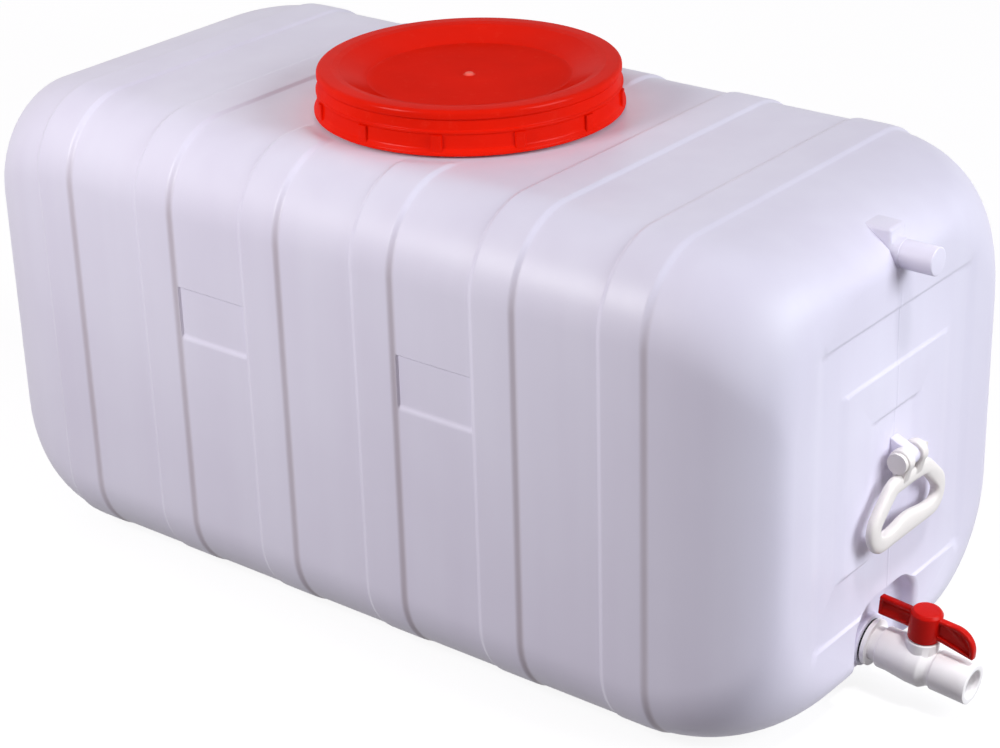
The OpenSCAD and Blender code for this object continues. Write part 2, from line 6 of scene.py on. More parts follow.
import bmesh
import bpy
from bpy.props import FloatProperty, FloatVectorProperty, IntProperty, PointerProperty
from bpy.types import Operator, Panel, PropertyGroup
from mathutils import Matrix, Vector
from mathutils.geometry import delaunay_2d_cdt


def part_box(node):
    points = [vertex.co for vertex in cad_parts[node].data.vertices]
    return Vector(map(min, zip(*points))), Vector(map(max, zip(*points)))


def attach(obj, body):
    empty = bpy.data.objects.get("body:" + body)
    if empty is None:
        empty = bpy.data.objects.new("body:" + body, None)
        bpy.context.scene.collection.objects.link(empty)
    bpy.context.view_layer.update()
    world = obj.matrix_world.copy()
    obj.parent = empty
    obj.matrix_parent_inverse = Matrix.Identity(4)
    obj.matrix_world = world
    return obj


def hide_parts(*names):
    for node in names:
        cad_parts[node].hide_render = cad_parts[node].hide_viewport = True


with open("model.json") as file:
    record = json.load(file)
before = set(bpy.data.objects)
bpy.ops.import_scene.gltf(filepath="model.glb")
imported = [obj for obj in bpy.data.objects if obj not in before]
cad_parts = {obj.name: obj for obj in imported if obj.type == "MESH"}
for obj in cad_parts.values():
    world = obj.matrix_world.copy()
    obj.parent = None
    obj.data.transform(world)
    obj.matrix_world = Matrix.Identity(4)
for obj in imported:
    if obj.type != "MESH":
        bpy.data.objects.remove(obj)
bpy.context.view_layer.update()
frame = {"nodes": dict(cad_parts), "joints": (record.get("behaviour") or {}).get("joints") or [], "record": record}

bl_info = {
    "name": "Fresh water tank",
    "version": (1, 0, 0),
    "blender": (4, 5, 0),
    "location": "View3D > Sidebar > Water tank",
    "description": "Skin, lid, handles, valve and finishes of a ribbed fresh water tank",
    "category": "Object",
}

MM = 0.001

# Places that the frame gives
JOINTS = {joint["name"]: joint for joint in frame["joints"]}
MOUNTS = {mount["name"]: mount for mount in frame["record"]["mounts"]}
PIVOT = Vector(JOINTS["loop_swing_tap_end"]["pos_m"])
STEM = Vector(JOINTS["valve_turn"]["pos_m"])
STEM_UP = -Vector(JOINTS["valve_turn"]["axis"]).normalized()
TAP_AXIS = Vector(MOUNTS["outlet_socket"]["axis"]).normalized()
VENT = MOUNTS["vent_stub"]
NECK_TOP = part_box("lid_gasket")[0].z
LID_LOW, LID_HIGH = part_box("lid")

# Sizes that two pieces share
PIN_PLAY = 0.05 * MM
THREAD_FOOT = 3.8 * MM
THREAD_CREST = 1.8 * MM
THREAD_SUNK = 0.5 * MM


def srgb(red, green, blue):
    """Linear colour of an sRGB colour given from 0 to 255."""
    def linear(value):
        value /= 255
        return value / 12.92 if value <= 0.04045 else ((value + 0.055) / 1.055) ** 2.4

    return linear(red), linear(green), linear(blue)


def length(name, value_mm, description):
    """A size property, given in millimetres."""
    return FloatProperty(name=name, description=description, default=value_mm * MM, unit="LENGTH")


def colour(name, value, description):
    """A colour property, given in sRGB."""
    return FloatVectorProperty(name=name, description=description, default=srgb(*value), subtype="COLOR")


class TankSizes(PropertyGroup):
    """Sizes of the moulded tank."""

    length: length("Length", 880, "Over the two end faces")
    width: length("Width", 434, "Over the ribs")
    height: length("Height", 447, "Over the ribs")
    wall: length("Wall", 4, "Thickness of the moulding")
    corner: length("Corner", 74, "Corner radius of the cross section")
    end_corner: length("End corner", 104, "Corner radius of the flat end faces")
    cap_length: length("Rounded end", 118, "Length of each rounded end")
    cap_side: length("Side draw", 59, "How far each side draws in over a rounded end")
    cap_rise: length("Top draw", 52, "How far the top and the underside draw in over a rounded end")
    rib_count: IntProperty(name="Ribs", description="Number of ribs", default=6, min=2)
    rib_pitch: length("Rib pitch", 127, "Distance from one rib to the next")
    rib_width: length("Rib width", 36, "Width of a rib's face")
    rib_step: length("Rib step", 2, "Height of a rib above the panels")
    rib_flank: length("Rib flank", 6, "Length of a rib's sloped flank")
    pocket_width: length("Pocket width", 80, "Width of a label pocket")
    pocket_height: length("Pocket height", 51, "Height of a label pocket")
    pocket_z: length("Pocket place", 280, "Height of a label pocket's centre")
    pocket_depth: length("Pocket depth", 2, "Depth of a label pocket")
    pocket_flank: length("Pocket flank", 1.5, "Length of a pocket's sloped sides")
    pocket_ledge: length("Pocket ledge", 4, "Length of the sloped ledge at a pocket's foot")
    panel_depth: length("Panel depth", 1.6, "Depth of the panel in an end face")
    seat_radius: length("Seat radius", 149.4, "Radius of the round seat below the lid")
    seat_z: length("Seat place", 444.5, "Height of the round seat")
    neck_radius: length("Neck radius", 126, "Outer radius of the filling neck")
    neck_wall: length("Neck wall", 5, "Wall thickness of the filling neck")
    thread_pitch: length("Thread pitch", 8, "Rise of the thread in one turn")
    thread_depth: length("Thread depth", 3.4, "Depth of a thread ridge")
    vent_wedge_width: length("Vent wedge width", 25, "Width of the wedge over the vent stub's root")
    vent_wedge_rise: length("Vent wedge rise", 23, "Height of that wedge above the stub's centre line")
    vent_collar: length("Vent collar", 0.8, "How far the collar at the stub's root stands out of the stub")
    vent_wedge_back: length("Vent wedge place", 6, "How far that wedge's front lies behind the end face")
    lug_width: length("Lug width", 12, "Thickness of the lug of a loop handle")
    lug_radius: length("Lug radius", 8, "Radius of the lug round its pin")
    lug_rise: length("Lug rise", 15, "Height of the lug's foot above its pin")
    lug_drop: length("Lug drop", 6.4, "Depth of the lug's foot below its pin")
    boss_radius: length("Boss radius", 24, "Radius of the tap boss")
    recess_width: length("Recess width", 98, "Width of the recess round the tap")
    recess_top: length("Recess top", 98.5, "Height of that recess's top edge")
    recess_corner: length("Recess corner", 30, "Corner radius of that recess")
    recess_depth: length("Recess depth", 19, "Depth of that recess behind the end face")
    recess_rim: length("Recess rim", 6, "Rounding of that recess's edges")


class LidSizes(PropertyGroup):
    """Sizes of the screw lid."""

    inner_radius: length("Inner radius", 130.6, "Radius inside the skirt")
    radius: length("Radius", 135.2, "Radius outside the skirt")
    edge: length("Edge", 3.2, "How far the lower edge stands out")
    lip_radius: length("Lip radius", 118, "Inner radius of the rim")
    dish_radius: length("Dish radius", 91, "Radius of the dish floor")
    dish_depth: length("Dish depth", 12, "Depth of the dish below the rim")
    plate: length("Plate", 3, "Thickness of the top")
    grip_count: IntProperty(name="Grips", description="Number of grip ribs", default=12, min=3)
    grip_width: length("Grip width", 9, "Width of a grip rib")
    grip_height: length("Grip height", 17, "Height of a grip rib")
    grip_depth: length("Grip depth", 2.6, "How far a grip rib stands out")
    grip_turn: FloatProperty(
        name="Grip turn", description="Angle of the first grip rib",
        default=math.radians(-3), subtype="ANGLE")


class LoopSizes(PropertyGroup):
    """Sizes of a loop handle."""

    thickness: length("Thickness", 10, "Thickness of the loop")
    bar: length("Bar", 15, "Width of the loop's bar")
    inner_corner: length("Inner corner", 7, "Inner corner radius of the loop")
    gap_width: length("Gap width", 93, "Width of the grip opening at the bottom")
    gap_top_width: length("Gap top width", 56, "Width of the grip opening at the top")
    gap_height: length("Gap height", 31, "Height of the grip opening")
    drop: length("Drop", 11, "From the pin down to the loop's top edge")
    swell: length("Swell", 5, "How far the lower bar swells into the opening")
    ear_radius: length("Ear radius", 10.5, "Radius of an ear round the pin")
    ear_width: length("Ear width", 9, "Thickness of an ear")
    ear_gap: length("Ear gap", 6.4, "From the middle to the inner face of an ear")
    pin_radius: length("Pin radius", 4, "Radius of the pin")


class ValveSizes(PropertyGroup):
    """Sizes of the ball valve, along its own axis from the stem."""

    boss: length("Boss", -49.5, "From the stem to the tap boss's face")
    inlet: length("Inlet", -35.5, "From the stem to the inlet end")
    mouth: length("Mouth", 50.5, "From the stem to the outlet's mouth")
    inlet_radius: length("Inlet radius", 18.7, "Radius of the plain inlet")
    inlet_length: length("Inlet length", 10, "Length of the plain inlet")
    barrel_radius: length("Barrel radius", 20.6, "Radius of the body round the ball")
    barrel_half: length("Barrel half", 6, "Length of the body's full width, to each side of the stem")
    waist: length("Waist", 12.5, "From the stem to the waist")
    waist_length: length("Waist length", 3, "Length of the waist")
    waist_radius: length("Waist radius", 16.4, "Radius of the waist")
    outlet_radius: length("Outlet radius", 18, "Outer radius of the outlet socket")
    socket_radius: length("Socket radius", 12.55, "Bore of the outlet socket")
    socket_depth: length("Socket depth", 20, "Depth of the outlet socket")
    bore_radius: length("Bore", 7.5, "Radius of the way through the ball")
    shoulder_radius: length("Shoulder radius", 14.5, "Radius of the shoulder below the hub")
    shoulder_height: length("Shoulder height", 25, "Height of that shoulder above the axis")
    neck_radius: length("Neck radius", 10, "Radius of the neck round the stem")
    neck_height: length("Neck height", 36, "Height of that neck above the axis")
    stem_radius: length("Stem radius", 6.05, "Bore for the stem")
    hub_radius: length("Hub radius", 14, "Radius of the handle's hub")
    hub_low: length("Hub foot", 25.8, "Height of the hub's foot above the axis")
    hub_high: length("Hub top", 53, "Height of the hub's top above the axis")
    wing_below: length("Wing place", 4, "Depth of the wings' top edge below the hub's top")
    wing_length: length("Wing length", 44, "From the stem to the tip of the wing above the inlet")
    wing_height: length("Wing height", 18, "Height of a wing at the hub")
    leaf_length: length("Leaf length", 48, "From the stem to the tip of the drooping wing above the outlet")
    leaf_drop: length("Leaf drop", 25, "Depth of that wing's tip below its top edge")
    leaf_corner: length("Leaf corner", 19, "Radius of that wing's shoulder")
    wing_thickness: length("Wing thickness", 7, "Thickness of a wing")
    wing_frame: length("Wing frame", 3.4, "Width of the frame round a wing's web")
    wing_pocket: length("Wing pocket", 2, "Depth of the hollow in each side of a wing")


class Finish(PropertyGroup):
    """Colours of the finishes and of the stage."""

    tank: colour("Tank", (229, 225, 242), "Milky plastic of the tank")
    tank_shade: colour("Tank shade", (220, 214, 233), "Thicker patches of that plastic")
    # Colour of the painted shade along each rib's foot, on the side towards the tap end
    foot_shade: colour("Dust", (218, 209, 202), "What dust on the tank leaves of its colour")
    lid: colour("Lid", (234, 26, 4), "Red plastic of the lid")
    lid_worn: colour("Worn lid", (236, 58, 40), "Rubbed places of the lid")
    # Colour of the highlight painted on the nub in the middle of the lid
    nub_highlight: colour("Gate mark", (250, 150, 135), "Pale mark in the middle of the lid")
    handle: colour("Handle", (192, 15, 7), "Red plastic of the valve handle")
    pvc: colour("PVC", (246, 243, 244), "White plastic of the valve")
    pvc_shade: colour("PVC shade", (236, 231, 233), "Dull places of the valve")
    loop: colour("Loop", (232, 226, 224), "White plastic of the loop handles")
    rubber: colour("Rubber", (22, 22, 24), "Seals")
    seat: colour("Seat", (236, 236, 230), "Waxy plastic of the ball seats")
    floor: colour("Floor", (120, 118, 121), "Floor as it throws light back")


class WaterTank(PropertyGroup):
    """Everything that a user would change."""

    tank: PointerProperty(type=TankSizes)
    lid: PointerProperty(type=LidSizes)
    loop: PointerProperty(type=LoopSizes)
    valve: PointerProperty(type=ValveSizes)
    finish: PointerProperty(type=Finish)


# Mesh tools


def smoothstep(value):
    """0 to 1 with level ends."""
    value = min(1.0, max(0.0, value))
    return value * value * (3 - 2 * value)


def arc(centre, radius, start, end, steps):
    """Points of a plane arc, in degrees, both ends included."""
    angles = [math.radians(start + (end - start) * i / steps) for i in range(steps + 1)]
    return [(centre[0] + radius * math.cos(a), centre[1] + radius * math.sin(a)) for a in angles]


def rounded(corners, steps=6):
    """A closed outline through (a, b, radius) corners, with an arc at each corner that has a radius."""
    path = []
    for i, (a, b, radius) in enumerate(corners):
        here = Vector((a, b))
        if radius == 0:
            path.append((a, b))
            continue
        before = (Vector(corners[i - 1][:2]) - here).normalized()
        after = (Vector(corners[(i + 1) % len(corners)][:2]) - here).normalized()
        half = before.angle(after) / 2
        centre = here + (before + after).normalized() * (radius / math.sin(half))
        first = here + before * (radius / math.tan(half)) - centre
        last = here + after * (radius / math.tan(half)) - centre
        start = math.atan2(first.y, first.x)
        turn = math.remainder(math.atan2(last.y, last.x) - start, math.tau)
        path += arc(centre, radius, math.degrees(start), math.degrees(start + turn), steps)
    return path


def rounded_box(half, low, high, radius):
    """A rounded rectangle about the second axis."""
    return rounded([(-half, low, radius), (half, low, radius), (half, high, radius), (-half, high, radius)])


def mark_sharp(piece, degrees):
    """Keeps the edges of a piece sharp that turn by more than an angle."""
    piece.data.set_sharp_from_angle(angle=math.radians(degrees))
    return piece


def finish_mesh(bm, name):
    """Turns a bmesh into a smooth piece in the scene, with its faces outwards."""
    bmesh.ops.remove_doubles(bm, verts=bm.verts, dist=1e-6)
    bmesh.ops.dissolve_degenerate(bm, edges=bm.edges, dist=1e-7)
    bmesh.ops.recalc_face_normals(bm, faces=bm.faces)
    mesh = bpy.data.meshes.new(name)
    bm.to_mesh(mesh)
    bm.free()
    mesh.polygons.foreach_set("use_smooth", [True] * len(mesh.polygons))
    piece = bpy.data.objects.new(name, mesh)
    bpy.context.scene.collection.objects.link(piece)
    return piece


def add_grid(bm, rows, close_rows, close_columns):
    """Adds rows of points as a grid of quads."""
    grid = [[bm.verts.new(point) for point in row] for row in rows]
    count = len(rows[0])
    for i in range(len(rows) if close_rows else len(rows) - 1):
        upper = grid[(i + 1) % len(rows)]
        for j in range(count if close_columns else count - 1):
            k = (j + 1) % count
            bm.faces.new((grid[i][j], grid[i][k], upper[k], upper[j]))
    return grid


def turned(name, profile, segments, matrix=Matrix.Identity(4)):
    """A piece from a closed (radius, height) outline turned round the matrix's own Z axis."""
    rows = []
    for i in range(segments):
        angle = math.tau * i / segments
        rows.append([matrix @ Vector((r * math.cos(angle), r * math.sin(angle), z)) for r, z in profile])
    bm = bmesh.new()
    add_grid(bm, rows, True, True)
    return finish_mesh(bm, name)


def prism(name, outline, matrix, *spans):
    """A piece from a closed outline that fills one or more (low, high) spans of the matrix's own Z axis."""
    bm = bmesh.new()
    for low, high in spans:
        lower = [bm.verts.new(matrix @ Vector((a, b, low))) for a, b in outline]
        upper = [bm.verts.new(matrix @ Vector((a, b, high))) for a, b in outline]
        bm.faces.new(lower)
        bm.faces.new(upper)
        for i in range(len(outline)):
            j = (i + 1) % len(outline)
            bm.faces.new((lower[i], lower[j], upper[j], upper[i]))
    return finish_mesh(bm, name)


def apply_modifiers(piece):
    """Bakes a piece's modifiers into its mesh."""
    bpy.context.view_layer.update()
    graph = bpy.context.evaluated_depsgraph_get()
    baked = bpy.data.meshes.new_from_object(piece.evaluated_get(graph))
    old = piece.data
    piece.modifiers.clear()
    piece.data = baked
    baked.name = piece.name
    bpy.data.meshes.remove(old)


def combine(piece, others, operation):
    """Joins other pieces to a piece, or cuts them out of it, and removes them."""
    for other in others:
        modifier = piece.modifiers.new(operation, "BOOLEAN")
        modifier.operation = operation
        modifier.solver = "EXACT"
        modifier.object = other
    apply_modifiers(piece)
    for other in others:
        bpy.data.objects.remove(other)


def drill(piece, radius, low, high, matrix, sides=48):
    """Cuts a round hole along the matrix's own Z axis."""
    circle = arc((0, 0), radius, 0, 360 - 360 / sides, sides - 1)
    combine(piece, [prism("hole", circle, matrix, (low, high))], "DIFFERENCE")


def bevel(piece, width, segments=3, angle_deg=40):
    """Rounds a piece's edges."""
    modifier = piece.modifiers.new("edges", "BEVEL")
    modifier.width = width
    modifier.segments = segments
    modifier.limit_method = "ANGLE"
    modifier.angle_limit = math.radians(angle_deg)
    modifier.harden_normals = True
    apply_modifiers(piece)


def place(piece, material, body, slot, *nodes):
    """Gives a finished piece its material, body and the nodes that it stands for; the slot is not used."""
    piece.data.materials.clear()
    piece.data.materials.append(material)
    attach(piece, body)
    if nodes:
        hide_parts(*nodes)


# Material tools


def new_material(name):
    """A node material and its shader."""
    material = bpy.data.materials.new(name)
    material.use_nodes = True
    return material, material.node_tree, material.node_tree.nodes["Principled BSDF"]


def feed(tree, node, inputs):
    """Gives a node its inputs, each a plain value or another node's output."""
    for key, value in inputs.items():
        if isinstance(value, bpy.types.NodeSocket):
            tree.links.new(value, node.inputs[key])
        else:
            node.inputs[key].default_value = value


def add_node(tree, kind, inputs=None, **settings):
    """Adds a node with its settings and its inputs."""
    node = tree.nodes.new(kind)
    for key, value in settings.items():
        setattr(node, key, value)
    feed(tree, node, inputs or {})
    return node


def calculate(tree, operation, *values):
    """A number worked out from plain values and other nodes' outputs."""
    return add_node(tree, "ShaderNodeMath", dict(enumerate(values)), operation=operation).outputs[0]


def ranged(tree, value, start, end, first=0.0, last=1.0, curve="LINEAR"):
    """A number carried from one range to another and kept inside it."""
    node = add_node(tree, "ShaderNodeMapRange", {
        "Value": value, "From Min": start, "From Max": end, "To Min": first, "To Max": last,
    }, interpolation_type=curve)
    return node.outputs["Result"]


def vector_math(tree, operation, *values):
    """A node that works on vectors."""
    return add_node(tree, "ShaderNodeVectorMath", dict(enumerate(values)), operation=operation)


def mix_colours(tree, factor, first, second, blend_type="MIX"):
    """A colour between two colours, each a plain colour or another node's output."""
    ends = [end if isinstance(end, bpy.types.NodeSocket) else (*end, 1) for end in (first, second)]
    node = add_node(tree, "ShaderNodeMix", {
        "Factor": factor, "A": ends[0], "B": ends[1]}, data_type="RGBA", blend_type=blend_type)
    return node.outputs["Result"]


def scaled(tone, factor):
    """A colour made darker or lighter by a factor."""
    return tuple(factor * channel for channel in tone)


def moulded_group():
    """Shader group for moulded plastic: cloudy patches, flow streaks, fine peel and small scuffs."""
    group = bpy.data.node_groups.new("moulded_plastic", "ShaderNodeTree")
    group.interface.new_socket("Vector", in_out="INPUT", socket_type="NodeSocketVector")
    for name, value in (
            ("Patch Scale", 6.0), ("Streak Scale", 30.0), ("Peel Scale", 700.0), ("Scuff Scale", 60.0),
            ("Streak Share", 0.3), ("Scuff Share", 0.2), ("Roughness Low", 0.35), ("Roughness High", 0.5)):
        socket = group.interface.new_socket(name, in_out="INPUT", socket_type="NodeSocketFloat")
        socket.default_value = value
    for name in ("Patches", "Scuffs", "Roughness", "Height"):
        group.interface.new_socket(name, in_out="OUTPUT", socket_type="NodeSocketFloat")
    given = group.nodes.new("NodeGroupInput").outputs
    vector = given["Vector"]
    streak_stretch = (1.0, 1.0, 0.06)
    scuff_roughness = 0.3

    def noise(scale, detail, roughness, at):
        node = add_node(group, "ShaderNodeTexNoise", {
            "Vector": at, "Scale": given[scale], "Detail": detail, "Roughness": roughness})
        return node.outputs["Fac"]

    patches = noise("Patch Scale", 3.0, 0.5, vector)
    stretched = vector_math(group, "MULTIPLY", vector, streak_stretch).outputs["Vector"]
    streaks = noise("Streak Scale", 2.0, 0.5, stretched)
    peel = noise("Peel Scale", 2.0, 0.6, vector)
    worn = ranged(group, noise("Scuff Scale", 8.0, 0.75, vector), 0.56, 0.74)
    scuffs = calculate(group, "MULTIPLY", worn, given["Scuff Share"])
    clouds = add_node(group, "ShaderNodeMix", {
        "Factor": given["Streak Share"], "A": patches, "B": streaks}, data_type="FLOAT")
    gloss = ranged(group, peel, 0.0, 1.0, given["Roughness Low"], given["Roughness High"])
    add_node(group, "NodeGroupOutput", {
        "Patches": ranged(group, clouds.outputs["Result"], 0.3, 0.7),
        "Scuffs": scuffs,
        "Roughness": calculate(group, "ADD", gloss, calculate(group, "MULTIPLY", scuffs, scuff_roughness)),
        "Height": calculate(group, "SUBTRACT", peel, scuffs),
    })
    return group


def polish_and_nub_highlight(tree, shader, vector, patches, surface):
    """The lid's colour with a pale highlight painted on the nub in the middle, and a polish outside the dull disc.
    """
    tank = bpy.context.scene.water_tank
    dish = tank.lid.dish_radius
    highlight_radius = 6 * MM
    highlight_share = 0.6
    edge = 5 * MM
    dull = 0.04
    polish = 0.14
    flat = vector_math(tree, "MULTIPLY", vector, (1, 1, 0)).outputs["Vector"]
    radius = vector_math(tree, "LENGTH", flat).outputs["Value"]
    coat = ranged(tree, radius, dish - edge, dish + edge, dull, polish)
    feed(tree, shader, {"Coat Weight": coat, "Coat Roughness": 0.22})
    # Painted highlight on the nub in the middle of the lid
    highlight = ranged(tree, radius, highlight_radius / 2, highlight_radius, highlight_share, 0.0)
    return mix_colours(tree, highlight, surface, tank.finish.nub_highlight)


def painted_foot_shade(tree, shader, vector, patches, surface):
    """The tank's colour with painted shade along each rib's foot on the side towards the tap end, fading out
    before the top.
    """
    tank = bpy.context.scene.water_tank
    sizes = tank.tank
    spread = 5 * MM
    darkest_share = 0.75
    faintest_share = 0.7
    down_flank = 0.6
    foot = sizes.rib_width / 2 + sizes.rib_flank * down_flank
    last_foot = (sizes.rib_count - 1) / 2 * sizes.rib_pitch + foot
    spot = add_node(tree, "ShaderNodeSeparateXYZ", {0: vector}).outputs
    from_panel = calculate(tree, "FLOORED_MODULO", spot["X"], sizes.rib_pitch)
    from_foot = calculate(tree, "SUBTRACT", from_panel, sizes.rib_pitch / 2 + foot)
    off_foot = calculate(tree, "ABSOLUTE", from_foot)
    uneven = ranged(tree, patches, 0.0, 1.0, faintest_share, 1.0)
    on_ribs = calculate(tree, "LESS_THAN", calculate(tree, "ABSOLUTE", spot["X"]), last_foot + spread)
    below_top = ranged(
        tree, spot["Z"], sizes.height - sizes.corner, sizes.height - sizes.corner / 4, 1.0, 0.0)
    # Painted shade: darkest at each rib's foot on its tap end side, fading out across the spread
    foot_shade = ranged(tree, off_foot, 0.0, spread, darkest_share, 0.0, "SMOOTHSTEP")
    for mask in (uneven, on_ribs, below_top):
        foot_shade = calculate(tree, "MULTIPLY", foot_shade, mask)
    return mix_colours(tree, foot_shade, surface, tank.finish.foot_shade, "MULTIPLY")


def plastic(name, main, second, worn, bump, values, specular=0.5, painted_light_step=None):
    """Moulded plastic: two cloudy tones, lighter scuffs, uneven gloss and a fine peel, and painted light where a
    step for it is given.
    """
    material, tree, shader = new_material(name)
    group = bpy.data.node_groups.get("moulded_plastic") or moulded_group()
    vector = add_node(tree, "ShaderNodeTexCoord").outputs["Object"]
    effect = add_node(tree, "ShaderNodeGroup", {"Vector": vector, **values}, node_tree=group).outputs
    tone = mix_colours(tree, effect["Patches"], main, second)
    surface = mix_colours(tree, effect["Scuffs"], tone, worn)
    # The step paints light or shade onto the colour
    if painted_light_step:
        surface = painted_light_step(tree, shader, vector, effect["Patches"], surface)
    relief = add_node(tree, "ShaderNodeBump", {
        "Height": effect["Height"], "Strength": bump, "Distance": 0.2 * MM})
    feed(tree, shader, {
        "Base Color": surface, "Roughness": effect["Roughness"], "Normal": relief.outputs["Normal"],
        "Specular IOR Level": specular})
    return material


def material_for(key):
    """The material of a finish, made when it is first asked for."""
    name = f"dressed_{key}"
    found = bpy.data.materials.get(name)
    if found:
        return found
    tones = bpy.context.scene.water_tank.finish
    rubber_worn = (0.05, 0.05, 0.05)
    finishes = {
        # The tank's step paints shade along the ribs' feet
        "tank_plastic": (tones.tank, tones.tank_shade, tones.tank, 0.15, {
            "Patch Scale": 5.0, "Streak Scale": 26.0, "Streak Share": 0.35, "Peel Scale": 420.0,
            "Scuff Share": 0.12, "Roughness Low": 0.36, "Roughness High": 0.48}, 0.4, painted_foot_shade),
        # The lid's step polishes its rim and paints a highlight on its nub
        "lid_plastic": (tones.lid, scaled(tones.lid, 0.9), tones.lid_worn, 0.12, {
            "Patch Scale": 14.0, "Streak Share": 0.1, "Peel Scale": 800.0, "Scuff Scale": 90.0,
            "Scuff Share": 0.35, "Roughness Low": 0.28, "Roughness High": 0.38}, 0.0, polish_and_nub_highlight),
        "handle_plastic": (tones.handle, scaled(tones.handle, 0.85), tones.lid_worn, 0.08, {
            "Patch Scale": 40.0, "Streak Share": 0.0, "Peel Scale": 1500.0, "Scuff Scale": 160.0,
            "Scuff Share": 0.25, "Roughness Low": 0.26, "Roughness High": 0.36}, 0.1),
        "valve_pvc": (tones.pvc, tones.pvc_shade, tones.pvc, 0.06, {
            "Patch Scale": 30.0, "Streak Share": 0.1, "Peel Scale": 1600.0, "Scuff Scale": 140.0,
            "Scuff Share": 0.3, "Roughness Low": 0.28, "Roughness High": 0.4}),
        "loop_plastic": (tones.loop, scaled(tones.loop, 0.93), tones.loop, 0.1, {
            "Patch Scale": 26.0, "Streak Share": 0.2, "Peel Scale": 1200.0, "Scuff Scale": 120.0,
            "Scuff Share": 0.2, "Roughness Low": 0.4, "Roughness High": 0.52}),
        "seal_rubber": (tones.rubber, scaled(tones.rubber, 1.6), rubber_worn, 0.3, {
            "Patch Scale": 60.0, "Streak Share": 0.0, "Peel Scale": 2500.0, "Scuff Scale": 200.0,
            "Roughness Low": 0.65, "Roughness High": 0.85}, 0.3),
        "seat_plastic": (tones.seat, scaled(tones.seat, 0.94), tones.seat, 0.05, {
            "Patch Scale": 50.0, "Streak Share": 0.0, "Peel Scale": 1800.0, "Scuff Scale": 150.0,
            "Roughness Low": 0.35, "Roughness High": 0.45}),
    }
    return plastic(name, *finishes[key])


# The tank's skin


def end_inset(sizes, x):
    """How far the section has drawn in at x: 0 along the tank, 1 at an end face."""
    start = sizes.length / 2 - sizes.cap_length
    reach = min(1.0, max(0.0, (abs(x) - start) / sizes.cap_length))
    return 1 - math.sqrt(1 - reach * reach)


def rib_raise(sizes, x):
    """1 on a rib's face, 0 on the panels, with a soft flank between them."""
    middle = (sizes.rib_count - 1) / 2
    nearest = min(abs(x - (i - middle) * sizes.rib_pitch) for i in range(sizes.rib_count))
    share = (nearest - sizes.rib_width / 2) / sizes.rib_flank
    return 1 - smoothstep(share)


def skin_stations(sizes):
    """Places along the tank where the skin has a ring of points."""
    flank_steps = 6
    cap_steps = 18
    panel_step = 6 * MM
    closest = 0.2 * MM
    near = sizes.rib_width / 2
    far = near + sizes.rib_flank
    middle = (sizes.rib_count - 1) / 2
    edge = sizes.pocket_width / 2
    places = []
    face = [near * share for share in (0.33, 0.66, 0.95)]
    flank = [near + sizes.rib_flank * step / flank_steps for step in range(flank_steps + 1)]
    for i in range(sizes.rib_count):
        rib = (i - middle) * sizes.rib_pitch
        places += [rib + side * reach for reach in face + flank for side in (-1, 1)]
        panel = rib + sizes.rib_pitch / 2
        if i < sizes.rib_count - 1:
            inner = [panel_step * step for step in range(6)]
            outer = [edge - step * sizes.pocket_flank for step in range(3)]
            places += [panel + side * reach for reach in inner + outer for side in (-1, 1)]
    last = middle * sizes.rib_pitch + far
    start = sizes.length / 2 - sizes.cap_length
    first = math.asin((last - start) / sizes.cap_length)
    for s in range(1, cap_steps + 1):
        angle = first + (math.pi / 2 - first) * s / cap_steps
        x = start + sizes.cap_length * math.sin(angle)
        places += [-x, x]
    unique = []
    for x in sorted(places):
        if not unique or x - unique[-1] > closest:
            unique.append(x)
    return unique


def skin_ring(sizes, x):
    """Points round the tank at x, from the foot of the far side over the top."""
    arc_steps = 16
    inset = end_inset(sizes, x)
    drop = sizes.rib_step * (1 - rib_raise(sizes, x))
    r = sizes.corner + (sizes.end_corner - sizes.corner) * inset
    half = sizes.width / 2 - drop - sizes.cap_side * inset
    high = sizes.height - drop - sizes.cap_rise * inset
    low = sizes.cap_rise * inset
    panel_high = sizes.height - sizes.rib_step - sizes.corner
    rows = pocket_rows(sizes)
    side_steps = 14
    top_steps = 44
    foot_steps = 12
    far_side = [(half, low + r + (high - low - 2 * r) * i / side_steps) for i in range(1, side_steps)]
    top = [(half - r - 2 * (half - r) * i / top_steps, high) for i in range(1, top_steps)]
    span = panel_high - sizes.corner
    near_side = [(-half, low + r + (high - low - 2 * r) * (z - sizes.corner) / span) for z in rows]
    foot = [(r - half + 2 * (half - r) * i / foot_steps, low) for i in range(1, foot_steps)]
    return (
        far_side + arc((half - r, high - r), r, 0, 90, arc_steps)
        + top + arc((r - half, high - r), r, 90, 180, arc_steps)
        + near_side + arc((r - half, low + r), r, 180, 270, arc_steps)
        + foot + arc((half - r, low + r), r, 270, 360, arc_steps)
    )


def pocket_rows(sizes):
    """Heights of the near side's rows on a panel, from the top down, with rows at the pockets' edges."""
    flank, ledge = sizes.pocket_flank, sizes.pocket_ledge
    top = sizes.pocket_z + sizes.pocket_height / 2
    foot = sizes.pocket_z - sizes.pocket_height / 2
    rows = [top + flank, top, top - flank, top - 2 * flank]
    rows += [foot + ledge + flank, foot + ledge, foot + ledge / 2, foot, foot - flank]
    rows += [sizes.pocket_z + share * sizes.pocket_height for share in (-0.25, -0.1, 0, 0.15, 0.3)]
    plain_mm = (352, 334, 318, 236, 216, 194, 170, 146, 122, 98)
    rows += [z * MM for z in plain_mm]
    return sorted(rows, reverse=True)


